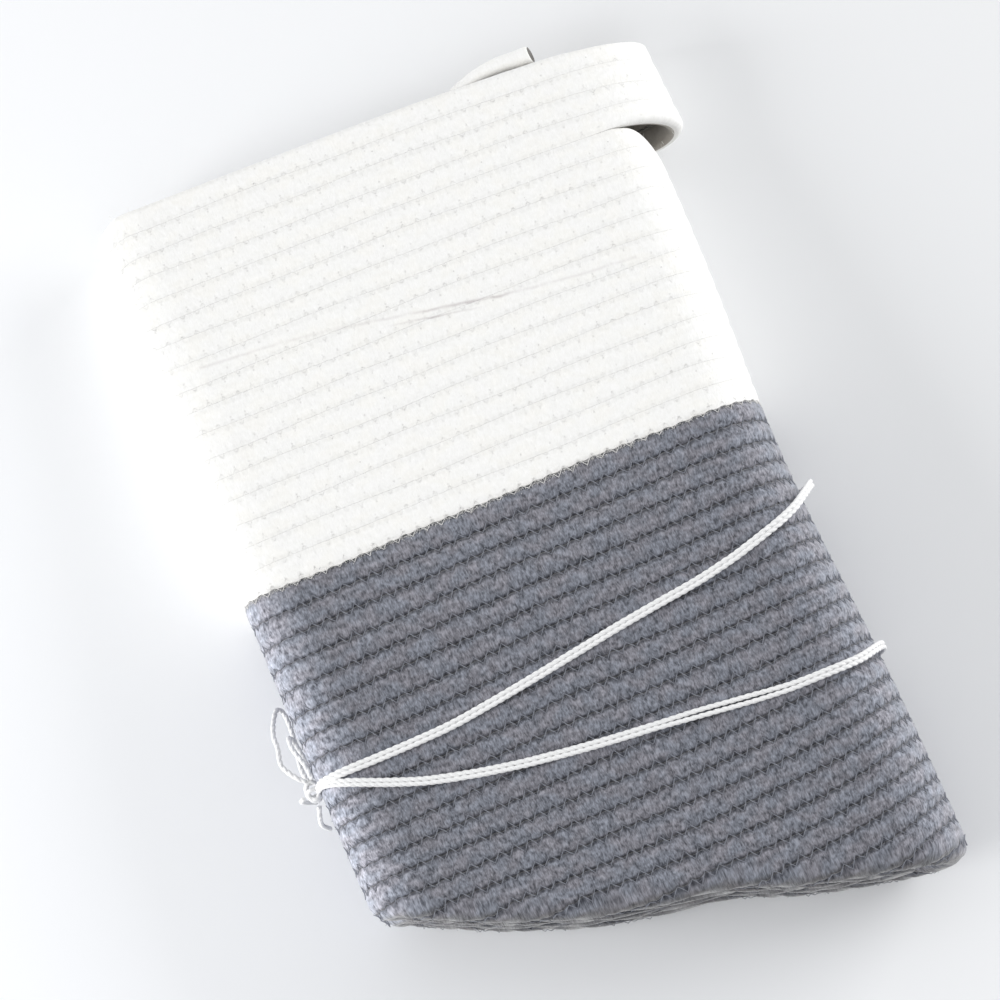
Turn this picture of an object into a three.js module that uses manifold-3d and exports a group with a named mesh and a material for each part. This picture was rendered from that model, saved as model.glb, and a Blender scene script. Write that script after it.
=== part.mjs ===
// A round storage basket of sewn cotton rope, pressed flat, folded double lengthwise and tied with string.
// Millimetres, +Z up. The bundle lies on its back on the plane z = 0, with its rim towards +Y,
// its bottom crease towards -Y and the outer fold, which carries the handle, towards +X.
//
// The wall is a sheet of rope rows. A place on it is given by three numbers: a leg of the folded outline
// and the part of that leg (how far round the basket), a row (0 at the rim, growing towards the bottom),
// and a distance outwards from the middle of the rope.

import * as THREE from "three";
import { mergeVertices } from "three/addons/utils/BufferGeometryUtils.js";
import Module from "manifold-3d";

// Driving dimensions
const BUNDLE_WIDTH = 238; // across the folded bundle, outside the rope
const ROPE_OUTER_HALF = 3.9; // from the middle of the pressed rope to its outer face
const ROPE_INNER_HALF = 3.6; // from the middle of the pressed rope to its inner face
const LAYER_STEP = 8.4; // from one layer of the wall to the next, through the stack
const SEAM_GAP = 0.8; // left between one row and the next
const ROPE_FLAT_SHARE = 0.56; // the pressed outer face, as a share of the row's width

const HANDLE_ROWS = 4; // rows above the handle slots
const WHITE_ROWS = 17;
const GREY_ROWS = 23;
const WHITE_PITCH = 10.35;
const GREY_PITCH = 9.95;
const WHITE_FAN = 0.4; // the pitch gains this at the left edge and loses it at the outer fold
const GREY_FAN = 0.22;
const COLOUR_LINE_Y = 218.5; // where white meets grey, halfway across
const ROW_TILT = 2.4; // the rows lie this much higher at the left edge, and lower at the outer fold

const CREASE_LEFT_Y = 77; // the bottom crease, where the wall turns under
const CREASE_MIDDLE_Y = 42;
const CREASE_RIGHT_Y = 14;
const FULL_STACK_Y = 184; // below this the stack holds its tucked layers at full height
const THIN_STACK_Y = 396; // at the rim it is down to the four layers of the wall
const TUCKED_LAYERS = 2; // layers that lie inside each half of the wall

const HANDLE_REACH = 32; // along the fold, from the middle of a handle to the end of its slot
const HANDLE_DROOP = 7.5; // of its lowest row, halfway along it
const HANDLE_FLARE = 12;
const SLOT_DEPTH = 17.5; // from the straight line between the rows down to the slot's lower side

const BASE_TOP_Y = 152; // the base, folded in four, reaches up to here
const BASE_CLEARANCE = 0.8;

const ROPE_END_LENGTH = 44; // the rope's last end, laid on the rim
const ROPE_END_X = 82;
const ROPE_END_HALF_HEIGHT = 3.9; // along the wall
const ROPE_END_HALF_THICKNESS = 4.2; // through the wall
const ROPE_END_RISE = 0.6; // of its middle over the rim

const STRING_DIAMETER = 1.9;
const STRING_CLEARANCE = 0.4;
const STRAND_SPACING = 2.4; // between the two strands of a band
const GROOVE_CLEARANCE = 0.35; // round the string, where it is pressed into the rope under the bundle
const GROOVE_OPENING = 2; // how far the groove's cut reaches out past the string
const KNOT_Y = 139;
const KNOT_HALF_THICKNESS = 4;
const KNOT_HALF_LENGTH = 5.6; // along the left edge
const KNOT_HALF_HEIGHT = 4.2;
const UPPER_BAND_FOLD_Y = 177; // where a band goes round the outer fold
const LOWER_BAND_FOLD_Y = 98.5;
const UPPER_BAND_BOW = 2.2; // over 1 the band turns late on its way across, under 1 early
const LOWER_BAND_BOW = 0.44;

// How finely the forms are cut
const STRING_SIDES = 8;
const ROLL_MARGIN = 2; // on both sides of a row's turn under, where it has more steps
const SLOT_END_PART = 0.13; // of a leg, from the fold to the end of the inner handle's slot

const HALF_WIDTH = BUNDLE_WIDTH / 2;
const ROLL_RADIUS = LAYER_STEP / 2;
const ALL_ROWS = WHITE_ROWS + GREY_ROWS;

const mix = (a, b, t) => a + (b - a) * t;
const clamp = (v, low, high) => Math.min(high, Math.max(low, v));

// The folded outline

// The legs in the order that the rope takes them, with the steps on each,
// and the parts of a straight leg between which a row may bend where it turns under.
const LEGS = [
  { name: "back_fold", steps: 3 },
  { name: "back", steps: 1, bends: 16 },
  { name: "outer_fold", steps: 4 },
  { name: "front", steps: 1, bends: 16 },
  { name: "front_fold", steps: 3 },
  { name: "inner_front", steps: 1, bends: 13 },
  { name: "inner_fold", steps: 2 },
  { name: "inner_back", steps: 1, bends: 13 },
];
const LEG = Object.fromEntries(LEGS.map((leg, i) => [leg.name, i]));

// Heights of the four layers and centres of the folds, for a stack that is opened by spread (0 to 1).
function stack(spread) {
  const pair = LAYER_STEP * (1 + TUCKED_LAYERS * spread);
  const back = ROPE_OUTER_HALF;
  const innerBack = back + pair;
  const innerFront = innerBack + LAYER_STEP;
  const front = innerFront + pair;
  const innerRadius = LAYER_STEP / 2;
  const outerRadius = innerRadius + pair;
  return {
    back, innerBack, innerFront, front, innerRadius, outerRadius,
    leftRadius: pair / 2,
    leftX: -HALF_WIDTH + ROPE_OUTER_HALF + pair / 2,
    rightX: HALF_WIDTH - ROPE_OUTER_HALF - outerRadius,
    middle: (innerBack + innerFront) / 2,
  };
}

function arc(x, z, radius, degrees, facing) {
  const a = THREE.MathUtils.degToRad(degrees);
  return {
    x: x + radius * Math.cos(a), z: z + radius * Math.sin(a),
    nx: facing * Math.cos(a), nz: facing * Math.sin(a),
  };
}

// A point of the folded outline and its normal, which points out of the basket.
function outline(leg, t, spread) {
  const s = stack(spread);
  if (leg === LEG.back_fold) return arc(s.leftX, (s.back + s.innerBack) / 2, s.leftRadius, 90 + 180 * t, 1);
  if (leg === LEG.back) return { x: mix(s.leftX, s.rightX, t), z: s.back, nx: 0, nz: -1 };
  if (leg === LEG.outer_fold) return arc(s.rightX, s.middle, s.outerRadius, 180 * t - 90, 1);
  if (leg === LEG.front) return { x: mix(s.rightX, s.leftX, t), z: s.front, nx: 0, nz: 1 };
  if (leg === LEG.front_fold) return arc(s.leftX, (s.front + s.innerFront) / 2, s.leftRadius, 90 + 180 * t, 1);
  if (leg === LEG.inner_front) return { x: mix(s.leftX, s.rightX, t), z: s.innerFront, nx: 0, nz: -1 };
  if (leg === LEG.inner_fold) return arc(s.rightX, s.middle, s.innerRadius, 90 - 180 * t, -1);
  return { x: mix(s.rightX, s.leftX, t), z: s.innerBack, nx: 0, nz: 1 };
}

// How far across the flat sheet a place is: -1 at the left edge, 1 at the folds on the right.
function across(leg, t) {
  if (leg === LEG.back_fold || leg === LEG.front_fold) return -1;
  if (leg === LEG.outer_fold || leg === LEG.inner_fold) return 1;
  return leg === LEG.back || leg === LEG.inner_front ? mix(-1, 1, t) : mix(1, -1, t);
}

// How far a place is from the middle of the nearer handle: 1 there and 0 at the end of its slot.
function handleShare(leg, t, spread) {
  const s = stack(spread);
  const run = s.rightX - s.leftX;
  const inner = leg === LEG.inner_fold || leg === LEG.inner_front || leg === LEG.inner_back;
  const radius = inner ? s.innerRadius : s.outerRadius;
  let distance = Infinity;
  if (leg === LEG.outer_fold || leg === LEG.inner_fold) distance = Math.abs(t - 0.5) * Math.PI * radius;
  if (leg === LEG.back || leg === LEG.inner_front) distance = Math.PI / 2 * radius + (1 - t) * run;
  if (leg === LEG.front || leg === LEG.inner_back) distance = Math.PI / 2 * radius + t * run;
  return distance < HANDLE_REACH ? Math.cos(Math.PI / 2 * distance / HANDLE_REACH) ** 2 : 0;
}

// The sheet of rows

// The height on the flat sheet of the line between two rows, without the handle.
function rowY(u, row) {
  const line = COLOUR_LINE_Y - ROW_TILT * u;
  if (row <= WHITE_ROWS) return line + (WHITE_ROWS - row) * (WHITE_PITCH - WHITE_FAN * u);
  return line - (row - WHITE_ROWS) * (GREY_PITCH - GREY_FAN * u);
}

// The bottom crease bends a little, halfway across.
const creaseY = (u) => mix(CREASE_MIDDLE_Y, u < 0 ? CREASE_LEFT_Y : CREASE_RIGHT_Y, Math.abs(u));
const CREASE_COSINE = BUNDLE_WIDTH / Math.hypot(BUNDLE_WIDTH, CREASE_LEFT_Y - CREASE_RIGHT_Y);

const spreadAt = (y) => clamp(1 - (y - FULL_STACK_Y) / (THIN_STACK_Y - FULL_STACK_Y), 0, 1);

// How far past the crease a place lies, measured square to the crease.
const pastCrease = (u, row) => (creaseY(u) - rowY(u, row)) * CREASE_COSINE;

// A point of the sheet: it turns under at the crease and lies reversed inside the stack beyond it.
function sheet(leg, t, row, out) {
  const u = across(leg, t);
  const flatY = rowY(u, row);
  const spread = spreadAt(flatY);
  const at = outline(leg, t, spread);
  const past = pastCrease(u, row);
  let y = flatY;
  let normal = out;
  if (past > 0) {
    const turn = Math.min(past / ROLL_RADIUS, Math.PI);
    const rest = Math.max(past - Math.PI * ROLL_RADIUS, 0);
    normal = -ROLL_RADIUS + (ROLL_RADIUS + out) * Math.cos(turn);
    y = creaseY(u) + (rest - (ROLL_RADIUS + out) * Math.sin(turn)) / CREASE_COSINE;
  }
  const share = handleShare(leg, t, spread);
  let x = at.x + at.nx * normal;
  if (row < HANDLE_ROWS) {
    y -= HANDLE_DROOP * share * row / HANDLE_ROWS;
    const outside = leg === LEG.outer_fold || leg === LEG.back || leg === LEG.front;
    if (outside) x += HANDLE_FLARE * share;
  } else if (row < WHITE_ROWS) {
    y -= SLOT_DEPTH * share * (WHITE_ROWS - row) / (WHITE_ROWS - HANDLE_ROWS);
  }
  return new THREE.Vector3(x, y, at.z + at.nz * normal);
}

// Rope rows

// The rows climb by one on the two inner layers, where the spiral hides its step.
function climb(leg, t) {
  if (leg < LEG.inner_front) return 0;
  if (leg === LEG.inner_front) return 0.45 * t;
  if (leg === LEG.inner_fold) return 0.45 + 0.1 * t;
  return 0.55 + 0.45 * t;
}

// The section of a pressed rope, as rows and distances outwards, anticlockwise seen along the rope.
function ropeSection() {
  const side = 0.5 - SEAM_GAP / 2 / GREY_PITCH;
  const flat = side * ROPE_FLAT_SHARE;
  return [[side, 0], [flat, ROPE_OUTER_HALF], [-flat, ROPE_OUTER_HALF], [-side, 0], [0, -ROPE_INNER_HALF]];
}

// The places along one turn of the rope: more at the handles, and where the row turns under.
function turnStations(row) {
  const stations = [];
  LEGS.forEach((leg, i) => {
    const inWhite = row < WHITE_ROWS;
    const parts = new Set();
    for (let k = 0; k < leg.steps; k++) parts.add(k / leg.steps);
    if (leg.name === "inner_front" && inWhite) parts.add(1 - SLOT_END_PART);
    if (leg.name === "inner_back" && inWhite) parts.add(SLOT_END_PART);
    const last = row + climb(i, 1) + 0.5;
    if (leg.bends && pastCrease(-1, last) > 0) parts.add(0.5);
    for (let k = 1; k < leg.bends; k++) {
      const u = across(i, k / leg.bends);
      const middle = row + climb(i, k / leg.bends);
      const turning = pastCrease(u, middle + 0.5) > -ROLL_MARGIN &&
        pastCrease(u, middle - 0.5) < Math.PI * ROLL_RADIUS + ROLL_MARGIN;
      if (turning) parts.add(k / leg.bends);
    }
    [...parts].sort((a, b) => a - b).forEach((t) => stations.push([i, t]));
  });
  return stations;
}

// One unbroken rope from the start of turn first to the end of turn last, as rings of points.
function ropeRings(first, last) {
  const section = ropeSection();
  const rings = [];
  const trim = SEAM_GAP / 2 / 15;
  for (let turn = first; turn <= last; turn++) {
    const middle = turn - 0.5;
    turnStations(middle).forEach(([leg, t], i) => {
      const start = turn === first && i === 0 ? trim : t;
      const row = middle + climb(leg, start);
      rings.push(section.map(([r, out]) => sheet(leg, start, row + r, out)));
    });
  }
  const end = LEG.inner_back;
  const row = last - 0.5 + climb(end, 1 - trim / 10);
  rings.push(section.map(([r, out]) => sheet(end, 1 - trim / 10, row + r, out)));
  return rings;
}

// A closed tube from rings of points that run anticlockwise seen along it.
function tube(rings) {
  const sides = rings[0].length;
  const positions = rings.flat().flatMap((p) => [p.x, p.y, p.z]);
  const index = [];
  for (let i = 0; i + 1 < rings.length; i++) {
    for (let j = 0; j < sides; j++) {
      const a = i * sides + j;
      const b = i * sides + (j + 1) % sides;
      index.push(a, b, a + sides, b, b + sides, a + sides);
    }
  }
  const end = (rings.length - 1) * sides;
  for (let j = 1; j + 1 < sides; j++) {
    index.push(0, j + 1, j);
    index.push(end, end + j, end + j + 1);
  }
  const geometry = new THREE.BufferGeometry();
  geometry.setAttribute("position", new THREE.Float32BufferAttribute(positions, 3));
  geometry.setIndex(index);
  return geometry;
}

// The least distance between points on one turn of a rope and points on the others, taken along each edge.
function leastGap(rings) {
  const points = [];
  rings.forEach((ring, i) => {
    if (i + 1 === rings.length) return;
    ring.forEach((p, j) => {
      const q = rings[i + 1][j];
      const parts = Math.max(1, Math.ceil(p.distanceTo(q) / 4));
      for (let k = 0; k < parts; k++) points.push({ at: i + k / parts, p: p.clone().lerp(q, k / parts) });
    });
  });
  const cell = 5;
  const cells = new Map();
  const key = (x, y, z) => `${x},${y},${z}`;
  const cellOf = (p) => [p.x, p.y, p.z].map((v) => Math.floor(v / cell));
  points.forEach((point) => {
    const name = key(...cellOf(point.p));
    if (!cells.has(name)) cells.set(name, []);
    cells.get(name).push(point);
  });
  let least = cell;
  points.forEach((point) => {
    const [x, y, z] = cellOf(point.p);
    for (let dx = -1; dx <= 1; dx++) for (let dy = -1; dy <= 1; dy++) for (let dz = -1; dz <= 1; dz++) {
      for (const other of cells.get(key(x + dx, y + dy, z + dz)) ?? []) {
        if (other.at - point.at > 6) least = Math.min(least, other.p.distanceTo(point.p));
      }
    }
  });
  return least;
}

function rope(name, first, last) {
  const rings = ropeRings(first, last);
  console.log(`${name}: ${last - first + 1} turns, least gap to itself ${leastGap(rings).toFixed(2)} mm`);
  return tube(rings);
}

// The base, folded in four inside the stack: a thick sheet round the outer fold

function basePlate() {
  const near = -(ROPE_INNER_HALF + BASE_CLEARANCE);
  const far = -(LAYER_STEP * (1 + TUCKED_LAYERS) - ROPE_INNER_HALF - BASE_CLEARANCE);
  const flapTop = (u) => {
    const past = pastCrease(u, ALL_ROWS + 1) - Math.PI * ROLL_RADIUS;
    return creaseY(u) + past / CREASE_COSINE + BASE_CLEARANCE;
  };
  let edge = 1;
  while (edge > -1 && flapTop(edge) < BASE_TOP_Y - 12) edge -= 0.01;
  const stations = [];
  for (let k = 0; k <= 3; k++) stations.push([LEG.back, (mix(edge, 1, k / 3) + 1) / 2]);
  const foldSteps = LEGS[LEG.outer_fold].steps;
  for (let k = 1; k < foldSteps; k++) stations.push([LEG.outer_fold, k / foldSteps]);
  for (let k = 0; k <= 3; k++) stations.push([LEG.front, (1 - mix(1, edge, k / 3)) / 2]);
  const rings = stations.map(([leg, t]) => {
    const at = outline(leg, t, 1);
    const corner = (y, n) => new THREE.Vector3(at.x + at.nx * n, y, at.z + at.nz * n);
    const low = flapTop(across(leg, t));
    return [corner(low, near), corner(BASE_TOP_Y, near), corner(BASE_TOP_Y, far), corner(low, far)];
  });
  return tube(rings);
}

// The rope's last end: it comes up from behind the rim and lies along it

function ropeEnd() {
  const steps = 8;
  const s = stack(spreadAt(rowY(0, 0)));
  const thinnest = 0.35;
  const z = (s.front + s.innerFront) / 2 + 1;
  return tube(Array.from({ length: steps + 1 }, (_, i) => {
    const share = i / steps;
    const x = ROPE_END_X - ROPE_END_LENGTH * (1 - share);
    const size = mix(thinnest, 1, Math.sqrt(share));
    const y = rowY(x / HALF_WIDTH, 0) + ROPE_END_RISE * size;
    return Array.from({ length: STRING_SIDES }, (_, k) => {
      const a = (2 * Math.PI * k) / STRING_SIDES;
      const up = ROPE_END_HALF_HEIGHT * size * Math.cos(a);
      return new THREE.Vector3(x, y + up, z + ROPE_END_HALF_THICKNESS * size * Math.sin(a));
    });
  }));
}

// Tie string: two strands side by side, twice round the bundle, with a bow at the left edge

// A closed tube of one section along straight runs, mitred at the corners between them.
// A section's places are distances towards +Y and outwards, square to the first run.
function mitredTube(points, section) {
  const run = (i) => points[i + 1].clone().sub(points[i]).normalize();
  const last = points.length - 1;
  const first = run(0);
  const side = new THREE.Vector3(0, 1, 0).addScaledVector(first, -first.y).normalize();
  const out = first.clone().cross(side);
  const rings = [section.map(([s, o]) => points[0].clone().addScaledVector(side, s).addScaledVector(out, o))];
  for (let i = 1; i <= last; i++) {
    const along = run(i - 1);
    const mitre = i < last ? run(i).add(along) : along;
    rings.push(rings[i - 1].map((p) => {
      const distance = points[i].clone().sub(p).dot(mitre) / along.dot(mitre);
      return p.clone().addScaledVector(along, distance);
    }));
  }
  return tube(rings);
}

const stringSection = Array.from({ length: STRING_SIDES }, (_, k) => {
  const a = (2 * Math.PI * (k + 0.5)) / STRING_SIDES;
  return [STRING_DIAMETER / 2 * Math.cos(a), STRING_DIAMETER / 2 * Math.sin(a)];
});

// The string lies on the rope, but under the bundle it is pressed in, clear of the ground.
const LYING = STRING_DIAMETER / 2 + STRING_CLEARANCE;
const PRESSED = -STRING_DIAMETER / 2 - 0.15;

const BANDS = [
  { name: "upper", foldY: UPPER_BAND_FOLD_Y, bow: UPPER_BAND_BOW, knotY: KNOT_Y + STRAND_SPACING },
  { name: "lower", foldY: LOWER_BAND_FOLD_Y, bow: LOWER_BAND_BOW, knotY: KNOT_Y - STRAND_SPACING },
];
const BAND_SHARES = [0, 0.08, 0.2, 0.4, 0.6, 0.8, 1]; // of a straight leg, from the left edge

// A point of a band on a leg of the bundle, this far above a corner of the rope's rows.
function bandPoint(band, leg, t, above) {
  const at = outline(leg, t, 1);
  const halfCorner = LEGS[leg].bends ? 0 : Math.PI / 2 / LEGS[leg].steps;
  const out = ROPE_OUTER_HALF + above / Math.cos(halfCorner);
  const start = stack(1).leftX;
  const share = clamp((at.x - start) / (HALF_WIDTH - ROPE_OUTER_HALF - start), 0, 1);
  const y = mix(band.knotY, band.foldY, share ** band.bow);
  return new THREE.Vector3(at.x + at.nx * out, y, at.z + at.nz * out);
}

// The part of a band that leaves the outer fold, runs under the bundle and comes up at the left.
function underPoints(band) {
  return [
    bandPoint(band, LEG.outer_fold, 1 / 4, LYING),
    ...BAND_SHARES.toReversed().map((share) => bandPoint(band, LEG.back, share, PRESSED)),
    bandPoint(band, LEG.back_fold, 2 / 3, LYING),
  ];
}

const knotLayer = (stack(1).front + stack(1).innerFront) / 2;

// A whole band, from the top of the knot round the bundle to the knot's underside.
function bandPoints(band) {
  const over = bandPoint(band, LEG.front_fold, 1 / 3, LYING);
  const under = underPoints(band);
  const reach = KNOT_HALF_HEIGHT + STRING_CLEARANCE;
  return [
    new THREE.Vector3(over.x, band.knotY, knotLayer + reach),
    over,
    ...BAND_SHARES.map((share) => bandPoint(band, LEG.front, 1 - share, LYING)),
    bandPoint(band, LEG.outer_fold, 3 / 4, LYING),
    bandPoint(band, LEG.outer_fold, 1 / 2, LYING),
    ...under,
    new THREE.Vector3(over.x, band.knotY, knotLayer - reach),
  ];
}

function strand(band, offset) {
  const points = bandPoints(band).map((p) => p.setY(p.y + offset));
  return mitredTube(points, stringSection);
}

const knotAt = new THREE.Vector3(
  bandPoint(BANDS[0], LEG.front_fold, 1 / 3, KNOT_HALF_THICKNESS + STRING_CLEARANCE).x,
  KNOT_Y,
  knotLayer,
);

function knot() {
  const geometry = new THREE.SphereGeometry(1, 12, 8);
  geometry.scale(KNOT_HALF_THICKNESS, KNOT_HALF_LENGTH, KNOT_HALF_HEIGHT);
  return geometry.translate(knotAt.x, knotAt.y, knotAt.z);
}

// The bow's loops and tails hang down the left edge: their routes, from the middle of the knot.
const BOW_ROUTES = {
  tie_bow_loop_outer: [
    [-1.5, 5.2, 2], [-5, 9, 1.8], [-8.5, 16, -2], [-7.5, 24, -7], [-7.4, 30, -11], [-5.5, 36, -15],
    [-2.5, 41, -20], [-0.6, 39, -26], [-0.5, 30, -24], [-1.5, 20, -17], [-2, 12, -9], [-1, 4.5, -3.2],
  ],
  tie_bow_loop_inner: [
    [1.4, 5.2, 2.2], [0.8, 12, 2.4], [-1.5, 20, -1], [-1.6, 26, -6], [-0.4, 24, -11], [0.9, 16, -8],
    [1.4, 6, -0.9],
  ],
  tie_tail_lower: [
    [-0.4, -6.1, 0], [-2, -9.6, -2.6], [-3.2, -12, -12], [-2.4, -12.5, -24], [-2, -12, -36],
  ],
  tie_tail_upper: [
    [-5.4, -0.5, -1], [-6.8, -0.8, -5], [-5.2, -1, -14], [-3.6, -0.4, -24], [-3, 0.5, -34],
  ],
};

function looseString(route) {
  const points = route.map(([x, y, z]) => new THREE.Vector3(x, y, z).add(knotAt));
  const curve = new THREE.CatmullRomCurve3(points, false, "centripetal");
  const circle = new THREE.Shape(stringSection.map(([x, y]) => new THREE.Vector2(x, y)));
  const steps = Math.round(curve.getLength() / (2.5 * STRING_DIAMETER));
  return new THREE.ExtrudeGeometry(circle, { steps, bevelEnabled: false, extrudePath: curve });
}

// Solids that are cut

const wasm = await Module();
wasm.setup();

function solid(geometry) {
  const bare = new THREE.BufferGeometry();
  const source = geometry.index ? geometry.toNonIndexed() : geometry;
  bare.setAttribute("position", source.getAttribute("position"));
  const merged = mergeVertices(bare, 1e-4);
  const vertProperties = merged.attributes.position.array;
  const triVerts = new Uint32Array(merged.index.array);
  return new wasm.Manifold(new wasm.Mesh({ numProp: 3, vertProperties, triVerts }));
}

function geometryOf(shape) {
  const mesh = shape.getMesh();
  const geometry = new THREE.BufferGeometry();
  geometry.setAttribute("position", new THREE.BufferAttribute(mesh.vertProperties, 3));
  geometry.setIndex(new THREE.BufferAttribute(mesh.triVerts, 1));
  return geometry;
}

// A rope with the grooves that the bands press into it under the bundle; crumbs at a seam's edge go.
function grooved(geometry) {
  const side = STRAND_SPACING / 2 + STRING_DIAMETER / 2 + GROOVE_CLEARANCE;
  const deep = -STRING_DIAMETER / 2 - GROOVE_CLEARANCE;
  const past = STRING_DIAMETER / 2 + GROOVE_OPENING;
  const section = [[side, deep], [side, past], [-side, past], [-side, deep]];
  const shape = BANDS.reduce(
    (rest, band) => rest.subtract(solid(mitredTube(underPoints(band), section))),
    solid(geometry),
  );
  const bodies = shape.decompose().sort((a, b) => b.volume() - a.volume());
  return geometryOf(bodies[0]);
}

// The assembly

const cotton = (name, color) => new THREE.MeshStandardMaterial({ name, color, roughness: 0.95, metalness: 0 });
const white = cotton("white_cotton", 0xf1ece4);
const grey = cotton("grey_cotton", 0x8d8b93);
const twine = cotton("white_string", 0xf4f1ea);

function piece(name, geometry, material) {
  const mesh = new THREE.Mesh(geometry, material);
  mesh.name = name;
  return mesh;
}

const bundle = new THREE.Group();
bundle.add(
  piece("handle_rows_white", rope("handle_rows_white", 1, HANDLE_ROWS), white),
  piece("wall_rope_white", rope("wall_rope_white", HANDLE_ROWS + 1, WHITE_ROWS), white),
  piece("wall_rope_grey", grooved(rope("wall_rope_grey", WHITE_ROWS + 1, ALL_ROWS)), grey),
  piece("base_rope_grey", basePlate(), grey),
  piece("rim_rope_end_white", ropeEnd(), white),
);
BANDS.forEach((band) => [1, -1].forEach((side, i) => {
  bundle.add(piece(`tie_${band.name}_strand_${i + 1}`, strand(band, side * STRAND_SPACING / 2), twine));
}));

const bow = new THREE.Group();
bow.add(piece("tie_knot", knot(), twine));
Object.entries(BOW_ROUTES).forEach(([name, route]) => bow.add(piece(name, looseString(route), twine)));

// The origin is under the middle of the tied bundle, with its bow left aside.
const box = new THREE.Box3().setFromObject(bundle);
const middle = box.getCenter(new THREE.Vector3());
const basket = new THREE.Group();
basket.name = "rope_basket";
basket.add(bundle, bow);
basket.position.set(-middle.x, -middle.y, -box.min.z);

export default basket;
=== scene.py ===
# %% [markdown]
# A rope basket, pressed flat, folded double and tied with string
#
# The real object is one spiral of cotton rope, sewn to itself row by row. For storage its wall was pressed flat,
# the flat wall was folded in half, and a doubled string was tied round the bundle. The CAD frame holds the
# bundle's size, its folds and the route of the string. This script dresses that frame: rope with a soft pressed
# section, zigzag stitches over every seam, twisted string, loose fibres, and the cotton's finish.

# %% Load the frame
import functools
import math

import bpy
import numpy as np
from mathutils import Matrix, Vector


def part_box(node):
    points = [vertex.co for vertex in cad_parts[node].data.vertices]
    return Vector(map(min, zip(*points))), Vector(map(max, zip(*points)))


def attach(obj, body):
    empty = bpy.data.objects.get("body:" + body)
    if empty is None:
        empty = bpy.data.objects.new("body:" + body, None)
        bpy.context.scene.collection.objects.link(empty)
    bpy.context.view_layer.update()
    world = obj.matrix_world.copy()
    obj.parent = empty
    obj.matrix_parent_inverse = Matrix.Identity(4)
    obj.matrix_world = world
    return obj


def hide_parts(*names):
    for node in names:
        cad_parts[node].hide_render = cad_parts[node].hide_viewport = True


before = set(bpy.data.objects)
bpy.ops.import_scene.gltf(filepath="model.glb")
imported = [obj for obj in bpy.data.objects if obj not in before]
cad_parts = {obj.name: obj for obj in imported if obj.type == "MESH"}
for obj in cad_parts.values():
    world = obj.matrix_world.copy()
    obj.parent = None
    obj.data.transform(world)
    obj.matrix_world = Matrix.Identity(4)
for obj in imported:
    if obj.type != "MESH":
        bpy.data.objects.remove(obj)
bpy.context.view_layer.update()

MM = 0.001

# %% [markdown]
# The bundle's own frame
#
# Every size below is in millimetres and is the CAD's own, apart from the handle's flare and droop and the string's
# route, which are fitted a little more closely to the photograph. The wall is easiest to describe before the model
# was moved onto its origin, with the left edge and the outer fold at equal distances from zero, so the script
# works there and reads from two CAD boxes how far the model was moved.

# %% Sizes of the bundle
HALF_WIDTH = 119.0                          # of the pressed and folded wall
ROPE_OUTER_HALF, ROPE_INNER_HALF = 3.9, 3.6  # a pressed rope, from the wall's middle outwards and inwards
LAYER_STEP = 8.4                            # from one layer of the wall to the next that touches it
ROLL_RADIUS = LAYER_STEP / 2                # of the turn under at the bottom's crease
HANDLE_ROWS, WHITE_ROWS, GREY_ROWS = 4, 17, 23
ALL_ROWS = WHITE_ROWS + GREY_ROWS
# the rows' pitch, and how much closer they run towards the outer fold
WHITE_PITCH, WHITE_FAN, WHITE_FAN_BEND = 10.52, 0.18, 0.2
GREY_PITCH, GREY_FAN_BEND = 9.92, 0.21
COLOUR_LINE_Y = 220.9                       # in the middle of the wall
ROW_TILT = 1.6                              # a row's drop from the middle to the outer fold
FOLD_LIFT = 0.5                             # how much further the drop goes on round that fold
LEFT_SAG, SAG_ROWS = 3.8, 15                # the grey rows below the colour line sag towards the left folds
FULL_STACK_Y, THIN_STACK_Y = 184.0, 396.0   # below the first the stack is full, above the second its layers touch
TUCKED_LAYERS = 2                           # of the turned-in bottom, inside each pair of wall layers
HANDLE_REACH, SLOT_REACH = 32.0, 24.0       # half the lengths of the handle and of its slot, along the fold
RIM_DROOP, HANDLE_DROOP = 5.0, 9.5          # at the handle's top and at its lower edge
DROOP_REACH, DROOP_BACK = 36.0, 12.0        # the lower edge hangs lowest this far round towards the back
HANDLE_FLARE = 15.0                         # how far the handle stands out
SLOT_DEPTH = 17.0                           # how far the wall sags away under it
CORNER_X, CORNER_RADIUS, CORNER_ROWS = -102.0, 14.0, 6.0
WAIST, WAIST_Y, WAIST_REACH = 2.2, 190.0, 80.0      # the string draws the outer fold in
BASE_TOP_Y = 152.0                          # the upper edge of the folded bottom

shift = np.array([
    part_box("wall_rope_grey")[1].x / MM - HALF_WIDTH,
    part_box("base_rope_grey")[1].y / MM - BASE_TOP_Y,
    0.0,
])
print("the CAD's origin moved the bundle by", shift.round(2), "mm")


def to_frame(points):
    """Millimetres in the bundle's own frame, as metres in the CAD's frame."""
    return (np.asarray(points, float) + shift) * MM


# %% [markdown]
# Camera and surroundings
#
# The photograph looks almost straight down, leaning ten degrees towards the bottom of the basket, and the basket
# lies turned to the left in the picture. A small camera rig of three numbers (lean, roll and distance) is easier
# to correct against a photograph than an Euler rotation. The light is daylight from all around, with a window on
# each side, and the fall of the light across the pale table is painted into it, a little darker towards the right.

# %% Camera
CAMERA_LEAN = math.radians(10)
CAMERA_ROLL = math.radians(23.4)
CAMERA_DISTANCE = 2000.0
PICTURE_SIDE = 1000
MM_PER_PIXEL = 0.419
CAMERA_AIM = (-2.4, 222.0, 45.0)
SENSOR_WIDTH = 36.0

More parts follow.
